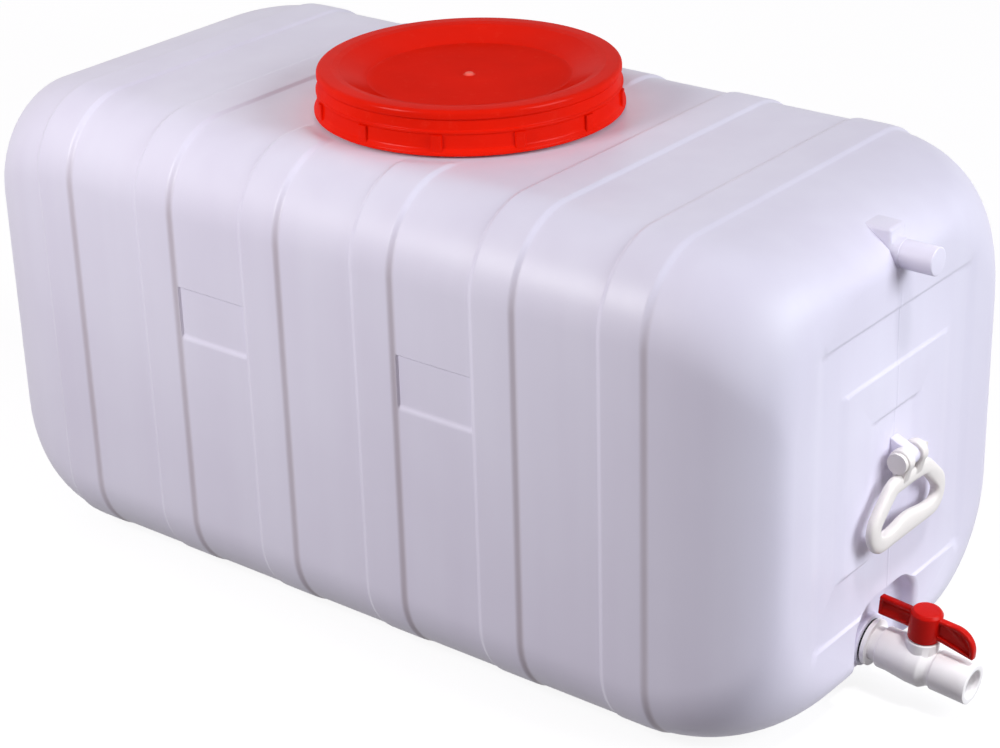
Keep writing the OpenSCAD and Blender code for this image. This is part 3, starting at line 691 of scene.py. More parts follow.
def pocket_press(sizes, x, z):
    """How deep a label pocket is pressed at a place on the near side."""
    deepest = 0.0
    half = sizes.pocket_height / 2
    for panel in (-sizes.rib_pitch, sizes.rib_pitch):
        across = (sizes.pocket_width / 2 - abs(x - panel)) / sizes.pocket_flank
        below_top = (sizes.pocket_z + half - z) / sizes.pocket_flank
        above_foot = (z - sizes.pocket_z + half) / sizes.pocket_ledge
        share = min(across, below_top, above_foot)
        deepest = max(deepest, sizes.pocket_depth * min(1.0, max(0.0, share)))
    return deepest


def skin_point(sizes, x, y, z):
    """A point of the skin, with the pockets pressed in and the lid's seat levelled."""
    ramp = 5 * MM
    if y < 2 * sizes.rib_step - sizes.width / 2:
        y += pocket_press(sizes, x, z)
    above = z - sizes.seat_z
    if above > 0:
        radius = math.hypot(x, y)
        z = sizes.seat_z + above * smoothstep((radius - sizes.seat_radius + ramp) / (2 * ramp))
    return Vector((x, y, z))


# Outlines on an end face: half width, bottom, top and corner radius
END_PANEL = (127 * MM, 90 * MM, 360 * MM, 20 * MM)
END_PLATE = (89 * MM, 141 * MM, 311 * MM, 6 * MM)
FINGER_RECESS = (42 * MM, 120 * MM, 270 * MM, 6 * MM)
# The flanks of those outlines: crisp along the top and the bottom, soft along the sides
EDGE_FLANK = 3 * MM
SIDE_FLANK = 11 * MM
EDGE_STEPS = (-0.3, 0.0, 0.5, 1.0, 1.3)
PARTING_HALF = 1.5 * MM
PARTING_SIDE = 2.2 * MM
PARTING_RISE = 0.5 * MM
PARTING_ENDS = (60 * MM, 386 * MM)


def end_relief(sizes, y, z):
    """How far an end face stands out at a place: panel, plate, finger recess and parting line."""
    def inside(shape):
        half, low, high, _ = shape
        share = min((half - abs(y)) / SIDE_FLANK, (z - low) / EDGE_FLANK, (high - z) / EDGE_FLANK)
        return smoothstep(share)

    pressed = inside(END_PANEL) * (1 - inside(END_PLATE) * (1 - inside(FINGER_RECESS)))
    ridge = PARTING_RISE * max(0.0, 1 - abs(y) / PARTING_HALF)
    if not PARTING_ENDS[0] < z < PARTING_ENDS[1]:
        ridge = 0.0
    return ridge - sizes.panel_depth * pressed


def add_end_face(bm, sizes, x):
    """Fills an end of the skin with its flat face and the relief on it."""
    loops = [skin_ring(sizes, x)]
    for half, low, high, radius in (END_PANEL, END_PLATE, FINGER_RECESS):
        for step in EDGE_STEPS:
            edge = step * EDGE_FLANK
            loops.append(rounded_box(half - step * SIDE_FLANK, low + edge, high - edge, radius))
    points = []
    edges = []
    for loop in loops:
        first = len(points)
        points += [Vector(p) for p in loop]
        edges += [(first + i, first + (i + 1) % len(loop)) for i in range(len(loop))]
    for y in (-PARTING_SIDE, -PARTING_HALF, 0.0, PARTING_HALF, PARTING_SIDE):
        edges.append((len(points), len(points) + 1))
        points += [Vector((y, z)) for z in PARTING_ENDS]
    inside_only = 1
    flat, _, faces, *_ = delaunay_2d_cdt(points, edges, [], inside_only, 1e-6)
    outwards = math.copysign(1, x)
    verts = [bm.verts.new((x + outwards * end_relief(sizes, p.x, p.y), p.x, p.y)) for p in flat]
    for face in faces:
        bm.faces.new([verts[i] for i in face])


def open_neck(piece, sizes):
    """Takes the skin away inside the filling neck and rounds the hole."""
    bm = bmesh.new()
    bm.from_mesh(piece.data)
    middle = sizes.neck_radius - sizes.neck_wall / 2
    widest = middle + 4 * MM
    lowest = sizes.seat_z - 20 * MM
    under = [
        f for f in bm.faces
        if f.calc_center_median().z > lowest and all(v.co.xy.length < widest for v in f.verts)
    ]
    bmesh.ops.delete(bm, geom=under, context="FACES")
    for edge in bm.edges:
        if edge.is_boundary:
            for vert in edge.verts:
                vert.co.xy = vert.co.xy.normalized() * middle
    bm.to_mesh(piece.data)
    bm.free()


def recess_rows(sizes):
    """Rows of the recess round the tap, from its back to in front of the end face, with round edges."""
    face = sizes.length / 2
    rim = sizes.recess_rim
    back = face - sizes.recess_depth
    clear = 4 * rim
    steps = 5
    widest = math.radians(75)
    inner = [math.pi / 2 * i / steps for i in range(steps + 1)]
    outer = [widest * i / steps for i in range(steps + 1)]
    stations = [(back + rim * (1 - math.cos(a)), rim * (math.sin(a) - 1)) for a in inner]
    stations += [(face - rim + rim * math.sin(a), rim * (1 - math.cos(a))) for a in outer]
    stations.append((face + rim, clear))
    below = -clear
    rows = []
    for x, offset in stations:
        half = sizes.recess_width / 2 + offset
        top = sizes.recess_top + offset
        corner = sizes.recess_corner + offset
        outline = rounded([
            (-half, below, 0), (half, below, 0), (half, top, corner), (-half, top, corner)], 14)
        rows.append([(x, y, z) for y, z in outline])
    return rows


def cut_recess(piece, sizes):
    """Cuts the arched recess round the tap into the skin."""
    bm = bmesh.new()
    grid = add_grid(bm, recess_rows(sizes), False, True)
    bm.faces.new(grid[0])
    bm.faces.new(grid[-1])
    combine(piece, [finish_mesh(bm, "recess")], "DIFFERENCE")


def build_skin(sizes):
    """The tank's moulded skin, with its wall."""
    bm = bmesh.new()
    places = skin_stations(sizes)
    rows = [[skin_point(sizes, x, y, z) for y, z in skin_ring(sizes, x)] for x in places]
    add_grid(bm, rows, False, True)
    add_end_face(bm, sizes, places[0])
    add_end_face(bm, sizes, places[-1])
    bmesh.ops.remove_doubles(bm, verts=bm.verts, dist=1e-5)
    piece = finish_mesh(bm, "tank_skin")
    cut_recess(piece, sizes)
    open_neck(piece, sizes)
    modifier = piece.modifiers.new("wall", "SOLIDIFY")
    modifier.thickness = sizes.wall
    modifier.offset = -1
    apply_modifiers(piece)
    return mark_sharp(piece, 35)


def build_neck(sizes):
    """The filling neck, from inside the wall to its top."""
    outer = sizes.neck_radius
    inner = outer - sizes.neck_wall
    foot = sizes.seat_z - sizes.wall
    fillet = 3 * MM
    edge = 1.2 * MM
    skirt = outer + 4 * MM
    skirt_top = sizes.seat_z + 0.2 * MM
    profile = rounded([
        (inner, foot, 0), (skirt, foot, 0), (skirt, skirt_top, 0),
        (outer, skirt_top, fillet), (outer, NECK_TOP, edge), (inner, NECK_TOP, edge)])
    return mark_sharp(turned("filling_neck", profile, 160), 40)


def tube_matrix(start, axis):
    """A frame whose Z axis runs along a direction from a point."""
    turn = Vector(axis).to_track_quat("Z", "Y").to_matrix().to_4x4()
    return Matrix.Translation(start) @ turn


def build_vent(sizes):
    """The vent stub with a closed tip, and the wedge over its root."""
    end = sizes.length / 2
    radius = VENT["dims"]["r_mm"] * MM
    middle = Vector(VENT["pos_m"])
    tip = middle.x + VENT["dims"]["length_mm"] * MM / 2
    root = end - 3 * sizes.vent_wedge_back
    depth = 60 * MM
    half = sizes.vent_wedge_width / 2
    rise = sizes.vent_wedge_rise
    front = end - sizes.vent_wedge_back
    turn = Matrix(((0, 0, 1, front), (1, 0, 0, 0), (0, 1, 0, middle.z), (0, 0, 0, 1)))
    wedge = prism("vent_stub", [(-half, 0), (half, 0), (half, rise), (-half, rise)], turn, (-depth, 0))
    bevel(wedge, 3 * MM, 5, 30)
    collar = radius + sizes.vent_collar
    step = end + 1 * MM - root
    profile = rounded([
        (0, 0, 0), (collar, 0, 0), (collar, step, 0.3 * MM), (radius, step, 0.3 * MM),
        (radius, tip - root, 1.2 * MM), (0, tip - root, 0)])
    stub = turned("stub", profile, 48, tube_matrix(Vector((root, 0, middle.z)), (1, 0, 0)))
    combine(wedge, [stub], "UNION")
    return mark_sharp(wedge, 40)


def pin_matrix(side):
    """The frame of the pin at an end: X outwards, Y up, Z along the pin."""
    return Matrix(((side, 0, 0, side * PIVOT.x), (0, 0, 1, 0), (0, 1, 0, PIVOT.z), (0, 0, 0, 1)))


def build_lug(sizes, side, name):
    """The lug that carries a loop handle, on the parting line of an end."""
    turn = pin_matrix(side)
    root = sizes.length / 2 - PIVOT.x - 2 * MM
    r = sizes.lug_radius
    nose = arc((0, 0), r, -100, 60, 14)
    outline = [(root, -sizes.lug_drop), (-r / 2, -sizes.lug_drop)] + nose + [(root, sizes.lug_rise)]
    lug = prism(name, outline, turn, (-sizes.lug_width / 2, sizes.lug_width / 2))
    bevel(lug, 1.4 * MM)
    bore = bpy.context.scene.water_tank.loop.pin_radius + PIN_PLAY
    drill(lug, bore, -sizes.lug_width, sizes.lug_width, turn)
    return mark_sharp(lug, 40)


def build_boss(sizes, valve):
    """The round boss that the tap's fitting is clamped on."""
    face = STEM + TAP_AXIS * valve.boss
    bore = 13.2 * MM
    depth = 7 * MM
    profile = rounded([
        (bore, -depth, 0), (sizes.boss_radius, -depth, 0),
        (sizes.boss_radius, 0, 1.5 * MM), (bore, 0, 0)])
    return mark_sharp(turned("tap_boss", profile, 64, tube_matrix(face, TAP_AXIS)), 40)


# Trees that repeat a shape or follow a path


def new_tree(name, inputs):
    """A geometry tree with named inputs, and the outputs that give their values inside it."""
    tree = bpy.data.node_groups.new(name, "GeometryNodeTree")
    for key, kind in inputs.items():
        tree.interface.new_socket(key, in_out="INPUT", socket_type=f"NodeSocket{kind}")
    tree.interface.new_socket("Geometry", in_out="OUTPUT", socket_type="NodeSocketGeometry")
    return tree, tree.nodes.new("NodeGroupInput").outputs


def finish_tree(tree, geometry, material):
    """Makes a tree's instances real, paints them and puts them out."""
    real = add_node(tree, "GeometryNodeRealizeInstances", {"Geometry": geometry})
    painted = add_node(tree, "GeometryNodeSetMaterial", {
        "Geometry": real.outputs["Geometry"], "Material": material})
    add_node(tree, "NodeGroupOutput", {"Geometry": painted.outputs["Geometry"]})
    return tree


def along_z(tree, value):
    """A vector along Z."""
    return add_node(tree, "ShaderNodeCombineXYZ", {"Z": value}).outputs["Vector"]


def run_tree(name, tree, values):
    """Runs a geometry tree on an empty piece and keeps its result as a plain mesh."""
    piece = bpy.data.objects.new(name, bpy.data.meshes.new(name))
    bpy.context.scene.collection.objects.link(piece)
    modifier = piece.modifiers.new("tree", "NODES")
    modifier.node_group = tree
    for item in tree.interface.items_tree:
        if item.in_out == "INPUT":
            modifier[item.identifier] = values[item.name]
    apply_modifiers(piece)
    return piece


def grip_tree():
    """Upright ribs with rounded edges, evenly round a circle."""
    lengths = ("Radius", "Foot", "Width", "Depth", "Height", "Edge", "Turn")
    tree, given = new_tree("grip_ribs", {
        "Count": "Int", **dict.fromkeys(lengths, "Float"), "Material": "Material"})
    circle = add_node(tree, "GeometryNodeMeshCircle", {
        "Vertices": given["Count"], "Radius": given["Radius"]})
    feet = add_node(tree, "GeometryNodeTransform", {
        "Geometry": circle.outputs["Mesh"],
        "Translation": along_z(tree, given["Foot"]), "Rotation": along_z(tree, given["Turn"])})
    section = add_node(tree, "GeometryNodeCurvePrimitiveQuadrilateral", {
        "Width": given["Depth"], "Height": given["Width"]})
    soft = add_node(tree, "GeometryNodeFilletCurve", {
        "Curve": section.outputs["Curve"], "Count": 4, "Radius": given["Edge"]}, mode="POLY")
    line = add_node(tree, "GeometryNodeCurvePrimitiveLine", {"End": along_z(tree, given["Height"])})
    rib = add_node(tree, "GeometryNodeCurveToMesh", {
        "Curve": line.outputs["Curve"], "Profile Curve": soft.outputs["Curve"], "Fill Caps": True})
    position = add_node(tree, "GeometryNodeInputPosition").outputs["Position"]
    outwards = vector_math(tree, "MULTIPLY", position, (1, 1, 0)).outputs["Vector"]
    facing = add_node(
        tree, "FunctionNodeAlignRotationToVector", {"Vector": outwards}, axis="X", pivot_axis="Z")
    ribs = add_node(tree, "GeometryNodeInstanceOnPoints", {
        "Points": feet.outputs["Geometry"], "Instance": rib.outputs["Mesh"],
        "Rotation": facing.outputs["Rotation"]})
    return finish_tree(tree, ribs.outputs["Instances"], given["Material"])


def thread_tree():
    """One ridge of a screw thread along a helix, tapered at its crest."""
    lengths = ("Turns", "Radius", "Rise", "Start", "Depth", "Root", "Crest")
    tree, given = new_tree("thread_ridge", {**dict.fromkeys(lengths, "Float"), "Material": "Material"})
    helix = add_node(tree, "GeometryNodeCurveSpiral", {
        "Resolution": 120, "Rotations": given["Turns"], "Height": given["Rise"],
        "Start Radius": given["Radius"], "End Radius": given["Radius"]})
    upright = add_node(tree, "GeometryNodeSetCurveNormal", {"Curve": helix.outputs["Curve"]}, mode="Z_UP")
    section = add_node(tree, "GeometryNodeCurvePrimitiveQuadrilateral", {
        "Offset": 0.0, "Height": given["Depth"],
        "Bottom Width": given["Root"], "Top Width": given["Crest"]}, mode="TRAPEZOID")
    quarter = add_node(tree, "GeometryNodeTransform", {
        "Geometry": section.outputs["Curve"], "Rotation": (0, 0, math.pi / 2)})
    ridge = add_node(tree, "GeometryNodeCurveToMesh", {
        "Curve": upright.outputs["Curve"], "Profile Curve": quarter.outputs["Geometry"],
        "Fill Caps": True})
    moved = add_node(tree, "GeometryNodeTransform", {
        "Geometry": ridge.outputs["Mesh"], "Translation": along_z(tree, given["Start"])})
    return finish_tree(tree, moved.outputs["Geometry"], given["Material"])


def build_thread(name, material, pitch, start, inner, outer, root, crest):
    """One turn of thread between two radii, root wide at the inner one and crest wide at the outer one."""
    tree = bpy.data.node_groups.get("thread_ridge") or thread_tree()
    return run_tree(name, tree, {
        "Turns": 1.0, "Radius": (inner + outer) / 2, "Rise": pitch, "Start": start,
        "Depth": outer - inner, "Root": root, "Crest": crest, "Material": material})


# The lid


def build_lid(sizes):
    """The dished lid, turned from one outline with rounded edges, and its nub."""
    top = LID_HIGH.z
    foot = LID_LOW.z
    floor = top - sizes.dish_depth
    under = NECK_TOP + (top - NECK_TOP) / 2
    ridge = foot + sizes.grip_height + 2.5 * MM
    r = sizes.radius
    profile = rounded([
        (0, floor + 2 * MM, 0),
        (3.5 * MM, floor + 1.6 * MM, 1 * MM),
        (4.2 * MM, floor, 0),
        (sizes.dish_radius, floor, 2 * MM),
        (sizes.lip_radius - 3 * MM, top - 1.2 * MM, 3 * MM),
        (sizes.lip_radius + 3 * MM, top, 4 * MM),
        (r - 0.2 * MM, top, 4 * MM),
        (r - 0.2 * MM, top - 7.5 * MM, 1.5 * MM),
        (r - 1.8 * MM, top - 9 * MM, 1.0 * MM),
        (r - 0.6 * MM, ridge + 2.2 * MM, 0.8 * MM),
        (r + 0.9 * MM, ridge + 1.2 * MM, 0.5 * MM),
        (r + 0.9 * MM, ridge - 0.6 * MM, 0.5 * MM),
        (r + 0.1 * MM, ridge - 1.6 * MM, 0.5 * MM),
        (r + 0.5 * MM, foot + 6 * MM, 3 * MM),
        (r + sizes.edge, foot + 2.6 * MM, 1.0 * MM),
        (r + sizes.edge, foot, 0.6 * MM),
        (sizes.inner_radius, foot, 0.6 * MM),
        (sizes.inner_radius, under, 0),
        (sizes.lip_radius - 1.5 * MM, under, 2 * MM),
        (sizes.dish_radius - 1.5 * MM, floor - sizes.plate, 4 * MM),
        (0, floor - sizes.plate, 0),
    ], 5)
    return mark_sharp(turned("lid_cap", profile, 192), 50)


# The loop handles


def loop_outline(low, high, wide, narrow, radius):
    """A rounded trapezoid: two lower and two upper corners of one radius, as evenly spread arcs."""
    steps = 12
    slope = math.degrees(math.atan2(wide - narrow, high - low))
    return (
        arc((wide, low), radius, -90, slope, steps)
        + arc((narrow, high), radius, slope, 90, steps)
        + arc((-narrow, high), radius, 90, 180 - slope, steps)
        + arc((-wide, low), radius, 180 - slope, 270, steps)
    )


def even_points(path, count):
    """A closed path walked in equal steps."""
    points = [Vector(p) for p in path]
    points.append(points[0])
    reach = [0.0]
    for a, b in zip(points, points[1:]):
        reach.append(reach[-1] + (b - a).length)
    walked = []
    k = 0
    for i in range(count):
        goal = reach[-1] * i / count
        while reach[k + 1] < goal:
            k += 1
        share = (goal - reach[k]) / max(reach[k + 1] - reach[k], 1e-9)
        walked.append(points[k].lerp(points[k + 1], share))
    return walked


def loop_section(steps):
    """Points round a bar's section: a circle of radius 1, squared off a little."""
    squareness = 0.7

    def squared(value):
        return math.copysign(abs(value) ** squareness, value)

    angles = [math.tau * i / steps for i in range(steps)]
    return [(squared(math.cos(angle)), squared(math.sin(angle))) for angle in angles]


def loop_bar(sizes, side, name):
    """The bar of a loop handle round the grip opening, with soft edges and a swell at the bottom."""
    count = 120
    section = loop_section(20)
    outer_corner = sizes.inner_corner + sizes.bar
    high = -sizes.drop - outer_corner
    low = high - (sizes.gap_height - 2 * sizes.inner_corner)
    wide = sizes.gap_width / 2 - sizes.inner_corner
    narrow = sizes.gap_top_width / 2 - sizes.inner_corner
    swell_half = 0.9 * wide
    outer = even_points(loop_outline(low, high, wide, narrow, outer_corner), count)
    inner = even_points(loop_outline(low, high, wide, narrow, sizes.inner_corner), count)
    rows = []
    for a, b in zip(outer, inner):
        if b.y < low:
            b.y += sizes.swell * smoothstep(1 - abs(b.x) / swell_half)
        middle = (a + b) / 2
        reach = (a - b) / 2
        row = []
        for across, proud in section:
            spot = middle + reach * across
            row.append((side * (PIVOT.x + proud * sizes.thickness / 2), spot.x, PIVOT.z + spot.y))
        rows.append(row)
    bm = bmesh.new()
    add_grid(bm, rows, True, True)
    return finish_mesh(bm, name)


def build_loop(sizes, side, name):
    """A loop handle: its bar, and two ears on the pin."""
    turn = pin_matrix(side)
    loop = loop_bar(sizes, side, name)
    half = sizes.thickness / 2
    foot = -sizes.drop - sizes.bar * 0.55
    outline = arc((0, 0), sizes.ear_radius, -40, 220, 24) + [(-half, foot), (half, foot)]
    gap = sizes.ear_gap
    outside = gap + sizes.ear_width
    ears = []
    for span in ((-outside, -gap), (gap, outside)):
        ear = prism(f"{name}_ear", outline, turn, span)
        bevel(ear, 1.5 * MM)
        ears.append(ear)
    combine(loop, ears, "UNION")
    drill(loop, sizes.pin_radius + PIN_PLAY, -2 * outside, 2 * outside, turn)
    return mark_sharp(loop, 45)


# The valve


def valve_matrix():
    """The valve's own frame: X along the pipe, Z along the stem, origin where they cross."""
    across = STEM_UP.cross(TAP_AXIS)
    turn = Matrix((TAP_AXIS, across, STEM_UP)).transposed().to_4x4()
    return Matrix.Translation(STEM) @ turn


def build_valve(sizes):
    """The valve body with its swell, waist, open socket and the neck round its stem."""
    upright = valve_matrix()
    along_pipe = upright @ Matrix.Rotation(math.pi / 2, 4, "Y")
    outlet = sizes.waist + sizes.waist_length + sizes.outlet_radius - sizes.waist_radius
    profile = rounded([
        (sizes.bore_radius, sizes.inlet, 0),
        (sizes.inlet_radius, sizes.inlet, 1.5 * MM),
        (sizes.inlet_radius, sizes.inlet + sizes.inlet_length, 8 * MM),
        (sizes.barrel_radius, -sizes.barrel_half, 8 * MM),
        (sizes.barrel_radius, sizes.barrel_half, 4 * MM),
        (sizes.waist_radius, sizes.waist, 2.5 * MM),
        (sizes.waist_radius, sizes.waist + sizes.waist_length, 1 * MM),
        (sizes.outlet_radius, outlet, 1.5 * MM),
        (sizes.outlet_radius, sizes.mouth, 0.8 * MM),
        (sizes.socket_radius, sizes.mouth, 1.2 * MM),
        (sizes.socket_radius, sizes.mouth - sizes.socket_depth, 0.5 * MM),
        (sizes.bore_radius, sizes.mouth - sizes.socket_depth, 0),
    ], 5)
    body = turned("valve_casing", profile, 96, along_pipe)
    foot = 11 * MM
    stem = rounded([
        (0, foot, 0), (sizes.shoulder_radius, foot, 0),
        (sizes.shoulder_radius, sizes.shoulder_height, 1.5 * MM),
        (sizes.neck_radius, sizes.shoulder_height, 0),
        (sizes.neck_radius, sizes.neck_height, 0.8 * MM), (0, sizes.neck_height, 0)])
    combine(body, [turned("valve_neck", stem, 64, upright)], "UNION")
    drill(body, sizes.stem_radius, 0, 2 * sizes.neck_height, upright)
    return mark_sharp(body, 45)


def wing_outlines(sizes, inset, root):
    """The outlines of the straight wing and of the drooping one, drawn in from their edges and the stem."""
    wing_top = sizes.hub_high - sizes.wing_below
    high = wing_top - inset
    foot = wing_top - sizes.wing_height + inset
    back = inset - sizes.wing_length
    tip = (sizes.leaf_length - inset, wing_top - sizes.leaf_drop + inset)
    shoulder = (sizes.leaf_length - sizes.leaf_corner, wing_top - sizes.leaf_corner)
    straight = [(-root, foot), (-root, high), (back, high), (back, foot)]
    leaf = [(root, high)] + arc(shoulder, sizes.leaf_corner - inset, 90, 0, 18) + [tip, (root, foot)]
    return straight, leaf


def build_valve_handle(sizes):
    """The red butterfly handle: a hub over the stem and two hollowed wings along the pipe."""
    upright = valve_matrix()
    flat = upright @ Matrix.Rotation(math.pi / 2, 4, "X")
    top = sizes.hub_high
    play = 0.4 * MM
    roof = sizes.neck_height + 0.6 * MM
    hollow = sizes.neck_radius + play
    hub_profile = rounded([
        (0, roof, 0), (hollow, roof, 0), (hollow, sizes.hub_low, 0),
        (sizes.hub_radius, sizes.hub_low, 0.8 * MM), (sizes.hub_radius, top - 3 * MM, 2 * MM),
        (sizes.hub_radius - 2.4 * MM, top, 1.5 * MM), (0, top, 0)])
    handle = turned("valve_wing_handle", hub_profile, 64, upright)
    half = sizes.wing_thickness / 2
    floor = half - sizes.wing_pocket
    over = half + MM
    web_root = sizes.hub_radius - 4 * MM
    wings = []
    outlines = zip(wing_outlines(sizes, 0, 0), wing_outlines(sizes, sizes.wing_frame, web_root))
    for outline, web in outlines:
        wing = prism("wing", outline, flat, (-half, half))
        bevel(wing, 1.6 * MM)
        pockets = prism("wing_pockets", web, flat, (floor, over), (-over, -floor))
        combine(wing, [pockets], "DIFFERENCE")
        wings.append(wing)
    combine(handle, wings, "UNION")
    drill(handle, hollow, 0, sizes.neck_height + play, upright, 60)
    return mark_sharp(handle, 45)


# The stage

CAMERA_PLACE = Vector((1.3207, -1.6087, 1.1520))
CAMERA_AZIMUTH = math.radians(38.85)
CAMERA_ELEVATION = math.radians(25.01)
CAMERA_ROLL = math.radians(1.67)
CAMERA_LENS = 88.56
SENSOR = 36.0
FLOOR_GLOW = 0.88


def add_camera():
    """The camera at the photograph's angle."""
    az, el = CAMERA_AZIMUTH, CAMERA_ELEVATION
    back = Vector((math.sin(az) * math.cos(el), -math.cos(az) * math.cos(el), math.sin(el)))
    right = Vector((math.cos(az), math.sin(az), 0))
    up = back.cross(right)
    c, s = math.cos(CAMERA_ROLL), math.sin(CAMERA_ROLL)
    facing = Matrix((c * right - s * up, s * right + c * up, back)).transposed().to_4x4()
    data = bpy.data.cameras.new("camera")
    data.lens = CAMERA_LENS
    data.sensor_width = SENSOR
    camera = bpy.data.objects.new("camera", data)
    camera.matrix_world = Matrix.Translation(CAMERA_PLACE) @ facing
    bpy.context.scene.collection.objects.link(camera)
    bpy.context.scene.camera = camera


def add_lamp(data, place_at, aim, power, tint=(1, 1, 1)):
    """Sets a lamp of the given kind and aims it at a point."""
    data.energy = power
    data.color = tint
    lamp = bpy.data.objects.new(data.name, data)
    lamp.location = place_at
    lamp.rotation_euler = (Vector(aim) - Vector(place_at)).to_track_quat("-Z", "Y").to_euler()
    bpy.context.scene.collection.objects.link(lamp)
    return lamp


def soft_lamp(name, size):
    """A square lamp."""
    data = bpy.data.lights.new(name, "AREA")
    data.size = size
    return data


def narrow_lamp(name, cone):
    """A lamp with a soft-edged cone."""
    data = bpy.data.lights.new(name, "SPOT")
    data.spot_size = cone
    data.spot_blend = 1.0
    data.shadow_soft_size = 0.15
    return data


def seen_directly(tree):
    """1 for the camera, mirror and glass rays, 0 for the rays that light the object."""
    path = add_node(tree, "ShaderNodeLightPath").outputs
    plain = calculate(tree, "MAXIMUM", path["Is Camera Ray"], path["Is Glossy Ray"])
    return calculate(tree, "MAXIMUM", plain, path["Is Transmission Ray"])


def floor_material(tint):
    """A floor that shows white with the object's shadow on it, and throws little light back."""
    material, tree, shader = new_material("pale_floor")
    coords = add_node(tree, "ShaderNodeTexCoord").outputs["Object"]
    grain = add_node(tree, "ShaderNodeTexNoise", {"Vector": coords, "Scale": 3.0, "Detail": 2.0})
    tone = mix_colours(tree, grain.outputs["Fac"], tint, scaled(tint, 0.97))
    glow = calculate(tree, "MULTIPLY", seen_directly(tree), FLOOR_GLOW)
    feed(tree, shader, {
        "Base Color": tone, "Roughness": 0.9, "Specular IOR Level": 0.0,
        "Emission Color": (1, 1, 1, 1), "Emission Strength": glow})
    return material


def add_floor(tint):
    """A wide pale floor, a little below the tank's underside."""
    half = 30.0
    drop = 0.5 * MM
    bm = bmesh.new()
    corners = ((-half, -half), (half, -half), (half, half), (-half, half))
    bm.faces.new([bm.verts.new((x, y, -drop)) for x, y in corners])
    floor = finish_mesh(bm, "floor")
    floor.data.materials.append(floor_material(tint))


def set_world(strength, tint):
    """A white surround, plain to the camera, and softer and tinted as light."""
    world = bpy.data.worlds.new("surround")
    world.use_nodes = True
    tree = world.node_tree
    seen = seen_directly(tree)
    feed(tree, tree.nodes["Background"], {
        "Color": mix_colours(tree, seen, tint, (1, 1, 1)),
        "Strength": ranged(tree, seen, 0.0, 1.0, strength, 1.0)})
    bpy.context.scene.world = world


# Operators


class TANK_OT_shell(Operator):
    """Makes the moulded tank: skin, neck, vent stub, lugs and tap boss"""

    bl_idname = "water_tank.shell"
    bl_label = "Tank"

    def execute(self, context):
        sizes = context.scene.water_tank
        tank = sizes.tank
        material = material_for("tank_plastic")
        thread = build_thread(
            "neck_thread", material, tank.thread_pitch, start=tank.seat_z + 14 * MM,
            inner=tank.neck_radius - THREAD_SUNK, outer=tank.neck_radius + tank.thread_depth,
            root=THREAD_FOOT, crest=THREAD_CREST)
        pieces = [
            build_skin(tank), build_neck(tank), build_vent(tank), build_boss(tank, sizes.valve),
            build_lug(tank, 1, "handle_lug_tap_end"), build_lug(tank, -1, "handle_lug_far_end"), thread]
        for piece in pieces:
            place(piece, material, "tank", "tank_plastic", "tank_shell")
        return {"FINISHED"}


class TANK_OT_lid(Operator):
    """Makes the red screw lid with its grip ribs and its thread"""

    bl_idname = "water_tank.lid"
    bl_label = "Lid"

    def execute(self, context):
        sizes = context.scene.water_tank.lid
        tank = context.scene.water_tank.tank
        material = material_for("lid_plastic")
        sunk = 1.5 * MM
        grips = run_tree("lid_grips", grip_tree(), {
            "Count": sizes.grip_count, "Radius": sizes.radius + (sizes.grip_depth - sunk) / 2,
            "Foot": LID_LOW.z + 1 * MM, "Width": sizes.grip_width, "Depth": sizes.grip_depth + sunk,
            "Height": sizes.grip_height, "Edge": 0.9 * MM, "Turn": sizes.grip_turn, "Material": material})
        thread = build_thread(
            "lid_thread", material, tank.thread_pitch, start=tank.seat_z + 10 * MM,
            inner=tank.neck_radius + 1.2 * MM, outer=sizes.inner_radius + THREAD_SUNK,
            root=THREAD_CREST, crest=THREAD_FOOT)
        for piece in (build_lid(sizes), grips, thread):
            place(piece, material, "lid", "lid_plastic", "lid")
        return {"FINISHED"}


class TANK_OT_loops(Operator):
    """Makes the two loop handles"""

    bl_idname = "water_tank.loops"
    bl_label = "Loop handles"

    def execute(self, context):
        sizes = context.scene.water_tank.loop
        material = material_for("loop_plastic")
        for side, end in ((1, "tap_end"), (-1, "far_end")):
            piece = build_loop(sizes, side, f"loop_{end}")
            place(piece, material, f"loop_{end}", "loop_plastic", f"carry_handle_{end}")
        return {"FINISHED"}


class TANK_OT_valve(Operator):
    """Makes the ball valve's casing and its red handle"""

    bl_idname = "water_tank.valve"
    bl_label = "Valve"

    def execute(self, context):
        sizes = context.scene.water_tank.valve
        place(build_valve(sizes), material_for("valve_pvc"), "tank", "valve_pvc", "valve_body")
        handle = build_valve_handle(sizes)
        place(handle, material_for("handle_plastic"), "valve_key", "handle_plastic", "valve_handle")
        return {"FINISHED"}


class TANK_OT_small_parts(Operator):
    """Finishes the small parts whose solids already have the right shape"""

    bl_idname = "water_tank.small_parts"
    bl_label = "Pins, seals and valve insides"

    def execute(self, context):
        for row in frame["record"]["subparts"]:
            node = frame["nodes"][row["node"]]
            if node.hide_render:
                continue
            node.data.materials.clear()
            node.data.materials.append(material_for(row["material_slot"]))
        return {"FINISHED"}


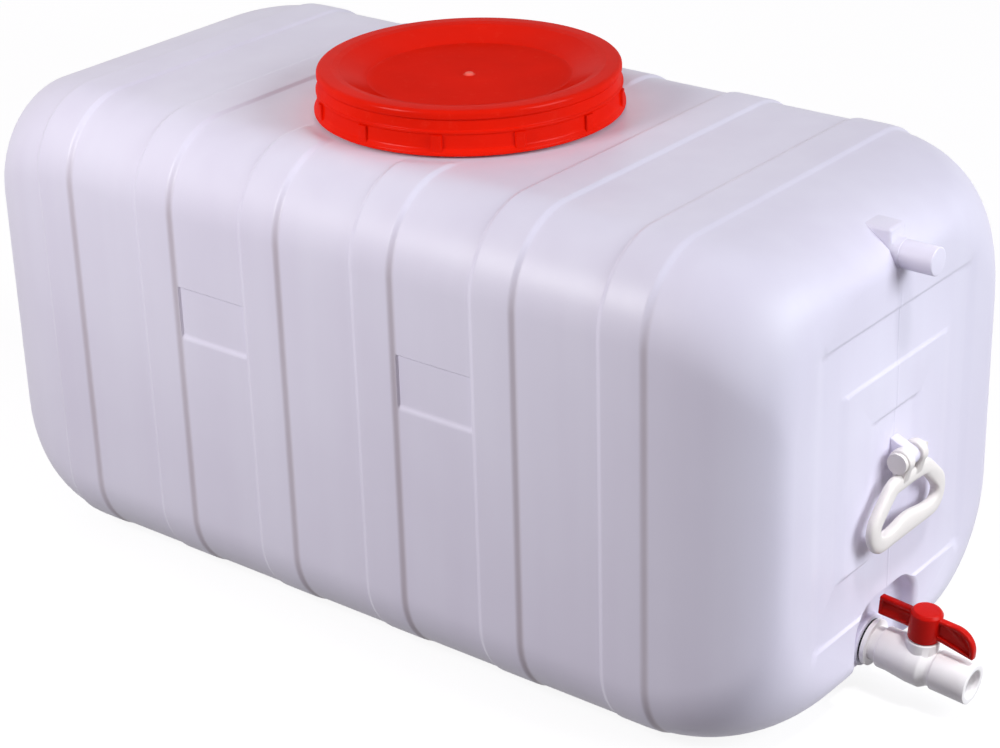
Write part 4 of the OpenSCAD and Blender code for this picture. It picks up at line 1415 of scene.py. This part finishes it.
class TANK_OT_stage(Operator):
    """Sets the floor, the lights, the surround and the camera"""

    bl_idname = "water_tank.stage"
    bl_label = "Stage"

    def execute(self, context):
        context.scene.view_settings.view_transform = "Standard"
        add_floor(context.scene.water_tank.finish.floor)
        set_world(strength=0.27, tint=(1.0, 0.94, 0.96))
        middle = (0, 0, 0.25)
        tap = (0.49, 0, 0.06)
        add_lamp(soft_lamp("key", size=1.5), (2.9, 0.5, 1.65), middle, power=71, tint=(0.94, 1.0, 1.03))
        add_lamp(soft_lamp("fill", size=0.5), (-0.45, -1.35, 1.1), middle, power=15.5)
        back = add_lamp(soft_lamp("back", size=1.6), (-2.6, 2.4, 1.1), middle, power=20)
        back.visible_glossy = False
        add_lamp(narrow_lamp("valve", cone=math.radians(13)), (1.0, -0.15, 1.45), tap, power=88)
        add_camera()
        return {"FINISHED"}


class TANK_PT_panel(Panel):
    """Lists the steps that make the tank"""

    bl_idname = "TANK_PT_panel"
    bl_label = "Water tank"
    bl_space_type = "VIEW_3D"
    bl_region_type = "UI"
    bl_category = "Water tank"

    def draw(self, context):
        for step in STEPS:
            self.layout.operator(step.bl_idname)
        for group in ("tank", "lid", "loop", "valve", "finish"):
            sizes = getattr(context.scene.water_tank, group)
            box = self.layout.box()
            for name in sizes.__annotations__:
                box.prop(sizes, name)


GROUPS = (TankSizes, LidSizes, LoopSizes, ValveSizes, Finish, WaterTank)
STEPS = (TANK_OT_shell, TANK_OT_lid, TANK_OT_loops, TANK_OT_valve, TANK_OT_small_parts, TANK_OT_stage)


def register():
    """Adds the properties, the steps and the panel."""
    for entry in (*GROUPS, *STEPS, TANK_PT_panel):
        bpy.utils.register_class(entry)
    bpy.types.Scene.water_tank = PointerProperty(type=WaterTank)


def unregister():
    """Takes them away again."""
    del bpy.types.Scene.water_tank
    for entry in (TANK_PT_panel, *reversed(STEPS), *reversed(GROUPS)):
        bpy.utils.unregister_class(entry)


def main():
    """Runs the steps in order."""
    register()
    bpy.ops.water_tank.shell()
    bpy.ops.water_tank.lid()
    bpy.ops.water_tank.loops()
    bpy.ops.water_tank.valve()
    bpy.ops.water_tank.small_parts()
    bpy.ops.water_tank.stage()
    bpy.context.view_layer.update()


if __name__ == "__main__":
    main()
